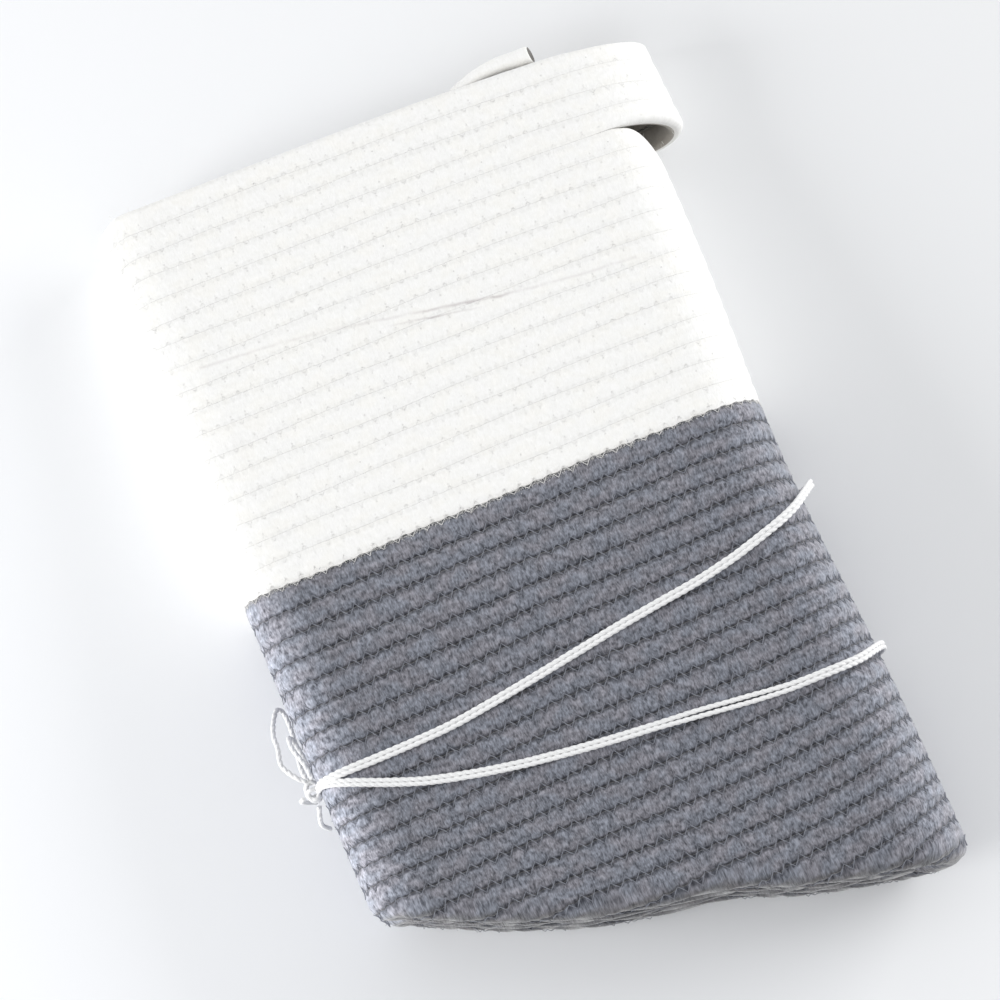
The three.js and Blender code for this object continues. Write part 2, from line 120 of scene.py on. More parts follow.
forward = Vector((0, math.sin(CAMERA_LEAN), -math.cos(CAMERA_LEAN)))
level_up = Vector((0, math.cos(CAMERA_LEAN), math.sin(CAMERA_LEAN)))
level_right = Vector((1, 0, 0))
right = level_right * math.cos(CAMERA_ROLL) - level_up * math.sin(CAMERA_ROLL)
up = level_right * math.sin(CAMERA_ROLL) + level_up * math.cos(CAMERA_ROLL)

camera_data = bpy.data.cameras.new("camera")
camera_data.sensor_width = SENSOR_WIDTH
camera_data.lens = SENSOR_WIDTH * CAMERA_DISTANCE / (MM_PER_PIXEL * PICTURE_SIDE)
camera = bpy.data.objects.new("camera", camera_data)
bpy.context.scene.collection.objects.link(camera)
turned = camera.matrix_world.copy()
for row in range(3):
    turned[row][0], turned[row][1], turned[row][2] = right[row], up[row], -forward[row]
camera.matrix_world = turned
camera.location = Vector(to_frame(CAMERA_AIM)) - forward * CAMERA_DISTANCE * MM
camera_data.clip_start, camera_data.clip_end = 0.05, 20
bpy.context.scene.camera = camera
bpy.context.scene.view_settings.view_transform = "Standard"
print("lens", round(camera_data.lens, 1), "mm")

# %% Floor, world and lamps
FLOOR_SIDE = 8.0
# a painted fall of light on the table: its colours at its left and right, where the ramp between them begins
# and ends, and how it is turned
FLOOR_LEFT, FLOOR_RIGHT = (0.955, 0.965, 0.985), (0.79, 0.795, 0.80)
FLOOR_RAMP, FLOOR_RAMP_SHIFT, FLOOR_RAMP_TURN = (0.1, 0.95), 0.5, math.radians(-15)
SKY_COLOUR, SKY_STRENGTH = (0.975, 0.985, 1.0), 0.585
# name, place and side in metres, and watts
LAMPS = (("window", (-1.95, 0.1, 0.7), 1.4, 39),
         ("second_window", (1.95, 0.3, 0.7), 1.4, 31),
         ("ceiling", (0.1, 0.3, 2.2), 1.6, 1))


def stage_floor():
    mesh = bpy.data.meshes.new("floor")
    half = FLOOR_SIDE / 2
    corners = [(-half, -half, 0), (half, -half, 0), (half, half, 0), (-half, half, 0)]
    mesh.from_pydata(corners, [], [(0, 1, 2, 3)])
    floor = bpy.data.objects.new("floor", mesh)
    bpy.context.scene.collection.objects.link(floor)
    material = bpy.data.materials.new("pale_table")
    material.use_nodes = True
    nodes, links = material.node_tree.nodes, material.node_tree.links
    shader = nodes["Principled BSDF"]
    shader.inputs["Roughness"].default_value = 0.9
    place = nodes.new("ShaderNodeTexCoord")
    turn = nodes.new("ShaderNodeMapping")
    turn.inputs["Rotation"].default_value = (0, 0, FLOOR_RAMP_TURN)
    turn.inputs["Location"].default_value = (FLOOR_RAMP_SHIFT, 0, 0)
    # the ramp is painted light, falling off towards the right
    ramp = nodes.new("ShaderNodeValToRGB")
    for end, position, colour in zip(ramp.color_ramp.elements, FLOOR_RAMP, (FLOOR_LEFT, FLOOR_RIGHT)):
        end.position, end.color = position, (*colour, 1)
    gradient = nodes.new("ShaderNodeTexGradient")
    links.new(place.outputs["Object"], turn.inputs["Vector"])
    links.new(turn.outputs["Vector"], gradient.inputs["Vector"])
    links.new(gradient.outputs["Fac"], ramp.inputs["Fac"])
    links.new(ramp.outputs["Color"], shader.inputs["Base Color"])
    mesh.materials.append(material)


def soft_lamp(name, place, side, power):
    data = bpy.data.lights.new(name, "AREA")
    data.shape, data.size, data.energy = "SQUARE", side, power
    lamp = bpy.data.objects.new(name, data)
    bpy.context.scene.collection.objects.link(lamp)
    lamp.location = place
    lamp.rotation_mode = "QUATERNION"
    lamp.rotation_quaternion = (-Vector(place)).to_track_quat("-Z", "Y")


stage_floor()
world = bpy.data.worlds.new("daylight")
bpy.context.scene.world = world
world.use_nodes = True
world.node_tree.nodes["Background"].inputs["Color"].default_value = (*SKY_COLOUR, 1)
world.node_tree.nodes["Background"].inputs["Strength"].default_value = SKY_STRENGTH
for lamp_name, lamp_place, lamp_side, lamp_power in LAMPS:
    soft_lamp(lamp_name, lamp_place, lamp_side, lamp_power)
print("a floor of", FLOOR_SIDE, "m and", len(LAMPS), "lamps")

# %% [markdown]
# The folded wall as a sheet
#
# A place on the wall has a leg of the folded outline and a part of that leg, which say how far round the basket
# it is, a row, and a distance outwards. The functions below turn such places into points, for whole arrays at a
# time, and everything that lies on the wall (rope, stitches, fibres, string) is placed through them, so nothing
# floats or sinks.

# %% Outline of the folded wall
BACK_FOLD, BACK, OUTER_FOLD, FRONT, FRONT_FOLD, INNER_FRONT, INNER_FOLD, INNER_BACK = range(8)


def stack(spread):
    """Heights of the layers and centres of the folds, for a stack opened by spread (0 to 1)."""
    pair = LAYER_STEP * (1 + TUCKED_LAYERS * spread)
    back = ROPE_OUTER_HALF + 0 * pair
    inner_back = back + pair
    inner_front = inner_back + LAYER_STEP
    front = inner_front + pair
    inner_radius = LAYER_STEP / 2
    outer_radius = inner_radius + pair
    return {
        "back": back, "inner_back": inner_back, "inner_front": inner_front, "front": front,
        "inner_radius": inner_radius, "outer_radius": outer_radius, "left_radius": pair / 2,
        "left_x": -HALF_WIDTH + ROPE_OUTER_HALF + pair / 2,
        "right_x": HALF_WIDTH - ROPE_OUTER_HALF - outer_radius,
        "middle": (inner_back + inner_front) / 2,
    }


def arc(x, z, radius, turn, facing):
    """A point of a fold and its outward normal; facing is -1 where the wall's outside is inside the fold."""
    c, s = np.cos(turn), np.sin(turn)
    return x + radius * c, z + radius * s, facing * c, facing * s


def outline(leg, t, spread):
    """x, z and the outward normal of the folded outline."""
    s = stack(spread)
    half_turn = math.pi * t
    flat = 0 * (t + spread)
    if leg == BACK_FOLD:
        return arc(s["left_x"], (s["back"] + s["inner_back"]) / 2, s["left_radius"], math.pi / 2 + half_turn, 1)
    if leg == BACK:
        return s["left_x"] + (s["right_x"] - s["left_x"]) * t, s["back"] + flat, flat, flat - 1
    if leg == OUTER_FOLD:
        return arc(s["right_x"], s["middle"], s["outer_radius"], half_turn - math.pi / 2, 1)
    if leg == FRONT:
        return s["right_x"] + (s["left_x"] - s["right_x"]) * t, s["front"] + flat, flat, flat + 1
    if leg == FRONT_FOLD:
        return arc(s["left_x"], (s["front"] + s["inner_front"]) / 2, s["left_radius"], math.pi / 2 + half_turn, 1)
    if leg == INNER_FRONT:
        return s["left_x"] + (s["right_x"] - s["left_x"]) * t, s["inner_front"] + flat, flat, flat - 1
    if leg == INNER_FOLD:
        return arc(s["right_x"], s["middle"], s["inner_radius"], math.pi / 2 - half_turn, -1)
    return s["right_x"] + (s["left_x"] - s["right_x"]) * t, s["inner_back"] + flat, flat, flat + 1


def across(leg, t):
    """-1 at the left edge of the flat wall, 1 where its folds begin on the right, and more round the outer fold."""
    if leg in (BACK_FOLD, FRONT_FOLD):
        return 0 * t - 1.0
    if leg == INNER_FOLD:
        return 0 * t + 1.0
    if leg == OUTER_FOLD:
        return 1.0 + FOLD_LIFT * np.sin(math.pi * t)
    return 2 * t - 1 if leg in (BACK, INNER_FRONT) else 1 - 2 * t


def row_y(u, row):
    """Height of the line between two rows on the flat wall. The rows run together towards the outer fold."""
    level = np.minimum(u, 1)
    line = COLOUR_LINE_Y - ROW_TILT * u
    white = line + (WHITE_ROWS - row) * (WHITE_PITCH - WHITE_FAN * level - WHITE_FAN_BEND * np.maximum(level, 0) ** 2)
    down = row - WHITE_ROWS
    sag = LEFT_SAG * np.maximum(-u, 0) ** 0.8 * np.sin(math.pi * np.clip(down / SAG_ROWS, 0, 1))
    grey = line - down * (GREY_PITCH - GREY_FAN_BEND * np.maximum(u, 0) ** 3) - sag
    return np.where(row <= WHITE_ROWS, white, grey)


def spread_at(y):
    """How far the stack is opened at a height by what lies inside it."""
    return np.clip(1 - (y - FULL_STACK_Y) / (THIN_STACK_Y - FULL_STACK_Y), 0, 1)


# %% Crease and handle
CREASE_X = [-115.0, -100.0, -74.0, -37.0, -8.0, 20.0, 49.0, 84.0, 115.0]
CREASE_Y = [86.8, 80.3, 67.0, 52.8, 46.4, 42.0, 30.2, 21.3, 15.9]
CREASE_SOFTNESS = 9.0         # millimetres to each side over which the line above is rounded
# how far the outer row of the handle flares, against its lower edge, and the power that rounds the slot's corners
RIM_FLARE, SLOT_CORNER = 0.9, 3
# the parts of the spiral's climb that the inner layers take, in the order of their legs
CLIMB = (0.45, 0.1, 0.45)
crease_cosine = 2 * HALF_WIDTH / math.hypot(2 * HALF_WIDTH, CREASE_Y[0] - CREASE_Y[-1])
print("the crease slants by", round(math.degrees(math.acos(crease_cosine)), 1), "degrees")


def crease_at(leg, t):
    """Where the wall turns under: lower towards the outer fold, and a little wavy."""
    x = outline(leg, t, 1.0 + 0 * t)[0]
    offsets = np.linspace(-1, 1, 7) * CREASE_SOFTNESS
    return sum(np.interp(x + offset, CREASE_X, CREASE_Y) for offset in offsets) / len(offsets)


def handle_share(leg, t, spread, reach=None, back=0.0):
    """1 in the middle of a handle, or so far behind it, and 0 past the reach along the fold."""
    reach = HANDLE_REACH if reach is None else reach
    s = stack(spread)
    run = s["right_x"] - s["left_x"]
    inner = leg in (INNER_FOLD, INNER_FRONT, INNER_BACK)
    radius = s["inner_radius"] if inner else s["outer_radius"]
    if leg in (OUTER_FOLD, INNER_FOLD):
        distance = (t - 0.5) * math.pi * radius + 0 * run
    elif leg in (BACK, INNER_FRONT):
        distance = -math.pi / 2 * radius - (1 - t) * run
    elif leg in (FRONT, INNER_BACK):
        distance = math.pi / 2 * radius + t * run
    else:
        return 0 * (t + run)
    distance = np.abs(distance + back)
    return np.where(distance < reach, np.cos(math.pi / 2 * distance / reach) ** 2, 0)


def corner_drop(x, row):
    """The pressed rim is rounded off where it meets the left folds."""
    past = np.clip((CORNER_X - x) / CORNER_RADIUS, 0, 1)
    return CORNER_RADIUS * (1 - np.sqrt(1 - past ** 2)) * np.clip(1 - row / CORNER_ROWS, 0, 1.1)


def sheet(leg, t, row, out):
    """Points of the wall. Past the bottom crease the wall turns under and lies reversed inside the stack."""
    u = across(leg, t)
    flat_y = row_y(u, row)
    spread = spread_at(flat_y)
    x, z, nx, nz = outline(leg, t, spread)
    crease = crease_at(leg, t)
    past = (crease - flat_y) * crease_cosine
    turn = np.clip(past / ROLL_RADIUS, 0, math.pi)
    rest = np.maximum(past - math.pi * ROLL_RADIUS, 0)
    rolled = -ROLL_RADIUS + (ROLL_RADIUS + out) * np.cos(turn)
    normal = np.where(past > 0, rolled, out)
    under = crease + (rest - (ROLL_RADIUS + out) * np.sin(turn)) / crease_cosine
    y = np.where(past > 0, under, flat_y)
    y = y - corner_drop(x, row)
    share = handle_share(leg, t, spread)
    slot_share = handle_share(leg, t, spread, SLOT_REACH)
    loop_share = handle_share(leg, t, spread, DROOP_REACH, DROOP_BACK)
    above_slot = row < HANDLE_ROWS
    outside = leg in (OUTER_FOLD, BACK, FRONT)
    flare = HANDLE_FLARE * share * outside * (RIM_FLARE + (1 - RIM_FLARE) * row / HANDLE_ROWS)
    flare = np.where(above_slot, flare, 0)
    droop = np.where(
        above_slot,
        RIM_DROOP * share * (1 - row / HANDLE_ROWS) + HANDLE_DROOP * outside * loop_share * row / HANDLE_ROWS,
        SLOT_DEPTH * slot_share ** SLOT_CORNER * np.clip((WHITE_ROWS - row) / (WHITE_ROWS - HANDLE_ROWS), 0, 1),
    )
    waist = WAIST * np.exp(-((y - WAIST_Y) / WAIST_REACH) ** 2) * np.maximum(u, 0) ** 2
    parts = np.broadcast_arrays(x + nx * normal + flare - waist, y - droop, z + nz * normal)
    return np.stack(parts, axis=-1)


def climb(leg, t):
    """The spiral's one row of climb is on the two inner layers, out of sight."""
    if leg < INNER_FRONT:
        return 0 * t
    done = leg - INNER_FRONT
    return sum(CLIMB[:done]) + CLIMB[done] * t


# %% Stitch positions along the seams
STITCH_LENGTH = 3.27          # from one needle hole to the next, on the other side of the seam
STITCH_PERIOD = 2 * STITCH_LENGTH
STITCH_HALF_WIDTH = 0.26      # of a row, from the seam to the needle holes
THREAD_HEIGHT = 3.85          # above the wall's middle, where a seam's length is measured
SEAM_STATIONS = 81
VISIBLE_LEGS = (BACK_FOLD, BACK, OUTER_FOLD, FRONT, FRONT_FOLD)


@functools.lru_cache(maxsize=None)
def seam_lengths(seam):
    """Distances along a seam, measured over the legs that show, at even stations of each leg."""
    t = np.linspace(0, 1, SEAM_STATIONS)
    row, out = np.full(SEAM_STATIONS, float(seam)), np.full(SEAM_STATIONS, THREAD_HEIGHT)
    stations = np.concatenate([leg + t for leg in VISIBLE_LEGS])
    points = np.concatenate([sheet(leg, t, row, out) for leg in VISIBLE_LEGS])
    steps = np.linalg.norm(np.diff(points, axis=0), axis=1)
    return stations + 1e-9 * np.arange(len(stations)), np.concatenate([[0], np.cumsum(steps)])


def stitch_phase(leg, t, seam):
    """0 and 1 at the needle holes below the seam, and a half at those above it."""
    if leg not in VISIBLE_LEGS:
        return 0 * t
    stations, lengths = seam_lengths(seam)
    return np.interp(leg + t, stations, lengths) / STITCH_PERIOD


print("the colour line is", round(seam_lengths(WHITE_ROWS)[1][-1]), "mm long where it shows")

# %% [markdown]
# Rope
#
# Rope could be a curve with a bevel, but a sewn and pressed rope isn't round, and its section follows the wall
# round folds and under the crease. So each rope is made ring by ring in the sheet's own coordinates, with numpy
# because there are many thousand rings. The needle pulls the rope's shoulders down at every stitch, which is what
# makes the seams look sewn, so the rings are close together wherever the rope shows.

# %% Section of a pressed rope
ROW_GAP = 0.0005              # of a row; keeps the edges of rows 4 and 5 on their own sides of the handle's slot
SEAM_DRIFT = 0.03             # of a row, slowly up and down along a seam
SEAM_ZONE = 0.37              # of a row, next to each seam, that drifts and weaves with it
DENT_WIDTH, DENT_PLACE, DENT_SHAPE = 0.13, 0.8, 1.5     # of a row, of the holes' distance, and how it fades
ROPE_SWELL = 0.04             # how unevenly thick a rope is, against its size
SWELL_WAVES = (0.031, 3.4), (0.083, 8.2), (0.19, 1.2), (0.41, 4.4)      # radians to a millimetre, and phase
DRIFT_WAVES = (0.21, 2.1), (0.53, 4.4)                  # radians to a stitch period, and phase from seam to seam
# millimetres from ring to ring, where a rope shows, on the back and inside
SHOWING_STEP, BACK_STEP, HIDDEN_STEP = STITCH_PERIOD / 6, STITCH_PERIOD / 3, 5.0
SHOULDER = (0, 0.12, 0.3, 0.55, 0.8, 1.0)       # parts of the furrow's half width where a section has points
# the corners of the hidden side, as a part of half a row (first) and in rows, and millimetres outwards
INNER_EDGE, INNER_ROWS, INNER_OUT = 0.93, (0.3, 0.0), (-2.2, -3.3, -ROPE_INNER_HALF)
SIDE_OUT = 0.6                # millimetres outwards, down to which two ropes touch
# the furrow's depth in millimetres, its half width in rows, how soft its bottom is, how deep the needle pulls the
# rope in, how far the seam weaves with the stitches, and how high the thread lies at its holes and crossings
WHITE_FURROW = dict(depth=0.34, half_width=0.3, softness=1.0, dent=0.02, weave=0.005, thread=(3.74, 3.40))
GREY_FURROW = dict(depth=1.3, half_width=0.33, softness=0.35, dent=0.25, weave=0.03, thread=(3.86, 3.3))
OPEN_EDGE_DROP = 2.8          # how much lower a rope's shoulder is where no other row is sewn to it


def rope_section(furrow):
    """Rows across and distances outwards, from the lower side over the outer face and round the hidden side.

    The third list says how far each point's shoulder sinks where the rope's edge is open."""
    side = 0.5 - ROW_GAP
    away = np.array(SHOULDER)
    sharp = 1 - np.sqrt(1 - (1 - away) ** 2)
    soft = (1 + np.cos(math.pi * away)) / 2
    drop = furrow["depth"] * (furrow["softness"] * soft + (1 - furrow["softness"]) * sharp)
    half_rows = np.concatenate([[side], side - furrow["half_width"] * away])
    half_out = np.concatenate([[SIDE_OUT], ROPE_OUTER_HALF - drop])
    inner_rows = np.array([side * INNER_EDGE, *INNER_ROWS])
    inner_out = np.array(INNER_OUT)
    rows = np.concatenate([half_rows, -half_rows[::-1], -inner_rows[:2], inner_rows[::-1]])
    outs = np.concatenate([half_out, half_out[::-1], inner_out[:2], inner_out[::-1]])
    half_sink = np.concatenate([[0], OPEN_EDGE_DROP * sharp])
    sinks = np.concatenate([half_sink, half_sink[::-1], np.zeros(5)])
    return rows, outs, sinks


print("rope section:", len(rope_section(GREY_FURROW)[0]), "points")


def leg_length(leg, row):
    """Millimetres along a leg of the outline, at a row's height by the outer fold."""
    spread = float(spread_at(row_y(1.0, row)))
    s = stack(spread)
    radius = {BACK_FOLD: "left_radius", FRONT_FOLD: "left_radius", OUTER_FOLD: "outer_radius",
              INNER_FOLD: "inner_radius"}.get(leg)
    return math.pi * s[radius] if radius else s["right_x"] - s["left_x"]


def rope_places(first, last):
    """The stations along a rope: leg, part of the leg and row of each ring."""
    steps = {BACK: BACK_STEP, INNER_FRONT: HIDDEN_STEP, INNER_FOLD: HIDDEN_STEP, INNER_BACK: HIDDEN_STEP}
    places = []
    for turn in range(first, last + 1):
        for leg in range(8):
            count = max(3, round(leg_length(leg, turn - 0.5) / steps.get(leg, SHOWING_STEP)))
            t = np.arange(count) / count
            places.append((leg, t, turn - 0.5 + climb(leg, t)))
    places.append((INNER_BACK, np.array([0.999]), np.array([last - 0.5 + 0.999])))
    return places


def slow_wave(along):
    """A smooth number between about -1 and 1 that drifts along a rope."""
    return sum(np.sin(k * along + phase) for k, phase in SWELL_WAVES) / len(SWELL_WAVES)


def open_edge(leg, t, row, seam):
    """1 where no row is sewn to this edge of a rope: all along the rim, and in the handle slots."""
    if seam == 0:
        return 1 + 0 * t
    if seam != HANDLE_ROWS:
        return 0 * t
    return np.clip(6 * handle_share(leg, t, spread_at(row_y(across(leg, t), row)), SLOT_REACH), 0, 1)


def rope_rings(first, last, furrow):
    """The rings of a rope with each point's place in the stitches, and each ring's distance along the rope."""
    section_rows, section_out, section_sink = rope_section(furrow)
    rings, stitch, along_all = [], [], []
    along = 0.0
    for leg, t, row in rope_places(first, last):
        middle = sheet(leg, t, row, 0 * t)
        steps = np.linalg.norm(np.diff(middle, axis=0), axis=1)
        if rings:
            along += float(np.linalg.norm(middle[0] - rings[-1][-1].mean(axis=0)))
        distance = along + np.concatenate([[0], np.cumsum(steps)])
        along = float(distance[-1])
        tall = 1 + ROPE_SWELL * slow_wave(distance)
        near_seam = np.clip((np.abs(section_rows) - (0.5 - SEAM_ZONE)) / SEAM_ZONE, 0, 1)[None, :]
        o = section_out[None, :] * (1 + (tall[:, None] - 1) * (1 - near_seam))
        lower_side = section_rows > 0
        turn = int(np.ceil(row[0]))
        phase = np.where(lower_side[None, :], stitch_phase(leg, t, turn)[:, None],
                         stitch_phase(leg, t, turn - 1)[:, None])
        seam_turn = np.where(lower_side, turn, turn - 1)[None, :]
        showing = 1.0 if leg in VISIBLE_LEGS else 0.0
        wander = sum(np.sin(k * phase + step * seam_turn) for k, step in DRIFT_WAVES)
        weave = np.where(seam_turn == WHITE_ROWS, GREY_FURROW["weave"], furrow["weave"])
        shift = weave * np.cos(2 * math.pi * phase) + SEAM_DRIFT * wander
        shift = np.where((seam_turn == HANDLE_ROWS) | (seam_turn == 0), 0.0, shift)
        opened = np.where(lower_side[None, :], open_edge(leg, t, row, turn)[:, None],
                          open_edge(leg, t, row, turn - 1)[:, None])
        r = section_rows[None, :] + showing * near_seam * shift
        from_seam = 0.5 - np.abs(section_rows)[None, :]
        needle = np.exp(-((from_seam - STITCH_HALF_WIDTH * DENT_PLACE) / DENT_WIDTH) ** 2)
        hole = 0.5 + 0.5 * np.cos(2 * math.pi * (phase - np.where(lower_side, 0.5, 0.0)[None, :]))
        sewn = np.where(section_out > SIDE_OUT, showing, 0.0)[None, :]
        o = o - furrow["dent"] * sewn * needle * hole ** DENT_SHAPE - section_sink * opened
        rings.append(sheet(leg, t[:, None], row[:, None] + r, o))
        stitch.append(np.stack([phase, np.broadcast_to(section_rows, phase.shape)], axis=-1))
        along_all.append(distance)
    return np.concatenate(rings), np.concatenate(stitch), np.concatenate(along_all)


# %% Mesh of a tube from rings
def mesh_object(name, points, faces, material):
    """A smooth mesh from points in millimetres; faces are an array, or a list where their sizes differ."""
    mesh = bpy.data.meshes.new(name)
    mesh.vertices.add(len(points))
    mesh.vertices.foreach_set("co", to_frame(points).astype(np.float32).ravel())
    sizes = np.array([len(f) for f in faces]) if isinstance(faces, list) else np.full(len(faces), faces.shape[1])
    loops = np.concatenate([np.ravel(f) for f in faces]) if isinstance(faces, list) else faces.ravel()
    mesh.loops.add(len(loops))
    mesh.loops.foreach_set("vertex_index", loops.astype(np.int32))
    mesh.polygons.add(len(sizes))
    mesh.polygons.foreach_set("loop_start", (np.cumsum(sizes) - sizes).astype(np.int32))
    mesh.polygons.foreach_set("use_smooth", np.ones(len(sizes), bool))
    mesh.update(calc_edges=True)
    piece = bpy.data.objects.new(name, mesh)
    bpy.context.scene.collection.objects.link(piece)
    mesh.materials.append(material)
    return piece


def tube_faces(rings, sides):
    """The quads between rings that follow one another."""
    i = np.arange(rings - 1)[:, None] * sides
    j = np.arange(sides)[None, :]
    a, b = i + j, i + (j + 1) % sides
    return np.stack([a, b, b + sides, a + sides], axis=-1).reshape(-1, 4)


def tubes_object(name, tubes, material):
    """Closed tubes as one mesh, each with a fan over its two ends; its faces come first, then the fans'."""
    points, faces, start = [], [], 0
    for rings in tubes:
        count, sides = rings.shape[:2]
        points += [rings.reshape(-1, 3), rings[0].mean(0)[None], rings[-1].mean(0)[None]]
        last, first_cap = (count - 1) * sides, count * sides
        faces += list(tube_faces(count, sides) + start)
        faces += [np.array([first_cap, (k + 1) % sides, k]) + start for k in range(sides)]
        faces += [np.array([first_cap + 1, last + k, last + (k + 1) % sides]) + start for k in range(sides)]
        start += first_cap + 2
    return mesh_object(name, np.concatenate(points), faces, material)


def set_uv(piece, name, values):
    """A UV map from one pair of numbers for each vertex."""
    mesh = piece.data
    layer = mesh.uv_layers.new(name=name)
    loops = np.zeros(len(mesh.loops), np.int32)
    mesh.loops.foreach_get("vertex_index", loops)
    layer.data.foreach_set("uv", values[loops].astype(np.float32).ravel())


# %% [markdown]
# Cotton
#
# Both ropes share one finish: matte yarn with a fine streaky relief, a little lighter on the raised yarns, partly
# from the yarns' own tone and partly as a painted highlight. The yarn is a node group that reads the rope's own UV
# map, which runs along the rope in millimetres, so the streaks bend with the rope at the folds. The grey rope is a
# melange, so its two colours lie far apart and the white's nearly meet. A second group paints shade into the gaps
# along a seam and into the needle's holes, from a UV map that counts stitches, and two more the specks of husk and
# the painted shade of the line that a string once pressed into the white rows.

# %% Yarn group
def add_node(nodes, links, kind, settings=(), **sockets):
    """A node with its settings, and its inputs by name, or by number as _0, _1; a socket as a value is linked."""
    made = nodes.new(kind)
    for name, value in settings:
        setattr(made, name, value)
    for name, value in sockets.items():
        key = int(name[1:]) if name[0] == "_" else name.replace("_", " ")
        if hasattr(value, "is_output"):
            links.new(value, made.inputs[key])
        else:
            made.inputs[key].default_value = value
    return made


def calculator(nodes, links):
    """A short way to chain Math nodes."""
    def calc(operation, *values, clamp=False):
        sockets = {f"_{k}": value for k, value in enumerate(values)}
        settings = [("operation", operation), ("use_clamp", clamp)]
        return add_node(nodes, links, "ShaderNodeMath", settings, **sockets).outputs[0]
    return calc


def new_group(name, inputs, outputs):
    """An empty shader node group; inputs are (name, kind, value) and outputs are names."""
    group = bpy.data.node_groups.new(name, "ShaderNodeTree")
    for label, kind, value in inputs:
        socket = group.interface.new_socket(label, in_out="INPUT", socket_type="NodeSocket" + kind)
        if value is not None:
            socket.default_value = value
    for label in outputs:
        group.interface.new_socket(label, in_out="OUTPUT", socket_type="NodeSocketFloat")
    nodes = group.nodes
    return group, nodes, group.links, nodes.new("NodeGroupInput"), nodes.new("NodeGroupOutput")


# the noises: how fast each runs along and round the rope, its slant in degrees, its detail and where it starts
YARNS, CROSSED_YARNS = ((0.95, 0.32, 1), 32, 1.5), ((0.95, 0.32, 1), -32, 1.5, 7.0)
FINE_YARNS = (2.6, 0.9, 1), 20, 1.0, 3.0
FIBRE_CLUMPS, TINT_PATCHES = ((0.3, 0.42, 1), 0, 1.0, 11.0), ((0.085, 0.12, 1), 0, 1.0, 23.0)
# what each is on average, and how much of it goes into the tone and into the relief
YARN_MEAN, YARN_TONE = 0.555, 1.2
CLUMP_MEAN, CLUMP_TONE = 0.5, 0.7
FINE_MEAN, FINE_TONE, FINE_RELIEF = 0.5, 0.5, 0.4


def yarn_group():
    """Fuzzy yarn: blurred streaks that cross at a slant, clumps of fibre, and slow patches of another tint."""
    group, nodes, links, start, end = new_group(
        "cotton_yarn", [("Along", "Vector", None), ("Mottling", "Float", 1.0)], ["Shade", "Height", "Tint"])
    node = functools.partial(add_node, nodes, links)
    calc = calculator(nodes, links)

    def streaks(stretch, turn, detail, shift=0.0):
        place = node("ShaderNodeMapping", Vector=start.outputs["Along"], Location=(shift, 0, 0),
                     Rotation=(0, 0, math.radians(turn)), Scale=stretch)
        return node("ShaderNodeTexNoise", Vector=place.outputs["Vector"], Scale=1.0, Detail=detail,
                    Roughness=0.6).outputs["Fac"]

    yarns = calc("MAXIMUM", streaks(*YARNS), streaks(*CROSSED_YARNS))
    fine, clumps = streaks(*FINE_YARNS), streaks(*FIBRE_CLUMPS)
    # the tone follows the yarns' relief, so it is partly their own uneven tone and partly a painted highlight on the
    # raised yarns
    tone = calc("ADD", calc("MULTIPLY", calc("SUBTRACT", yarns, YARN_MEAN), YARN_TONE),
                calc("MULTIPLY", calc("SUBTRACT", clumps, CLUMP_MEAN), CLUMP_TONE))
    tone = calc("ADD", tone, calc("MULTIPLY", calc("SUBTRACT", fine, FINE_MEAN), FINE_TONE))
    links.new(calc("ADD", calc("MULTIPLY", tone, start.outputs["Mottling"]), 0.5), end.inputs["Shade"])
    links.new(calc("ADD", yarns, calc("MULTIPLY", fine, FINE_RELIEF)), end.inputs["Height"])
    links.new(streaks(*TINT_PATCHES), end.inputs["Tint"])
    return group


yarn = yarn_group()
print("yarn group:", len(yarn.nodes), "nodes")


# %% Seam group
FURROW_EDGE = 2.4             # how sharply the furrow's dark gap ends
GAP_SHAPE, GAP_FLOOR = 1.3, 0.15      # how the gap narrows to the crossing threads, and what is left under them
ROW_HEIGHT = 10.0             # millimetres, for the needle holes
# how fast the unevenness of gaps and of holes runs, and the slope and offset that turn its noise into a strength
GAP_NOISE, GAP_SLOPE, GAP_OFFSET = 0.14, 2.0, -0.2
HOLE_NOISE, HOLE_SLOPE, HOLE_OFFSET = 0.26, 5.0, -2.3


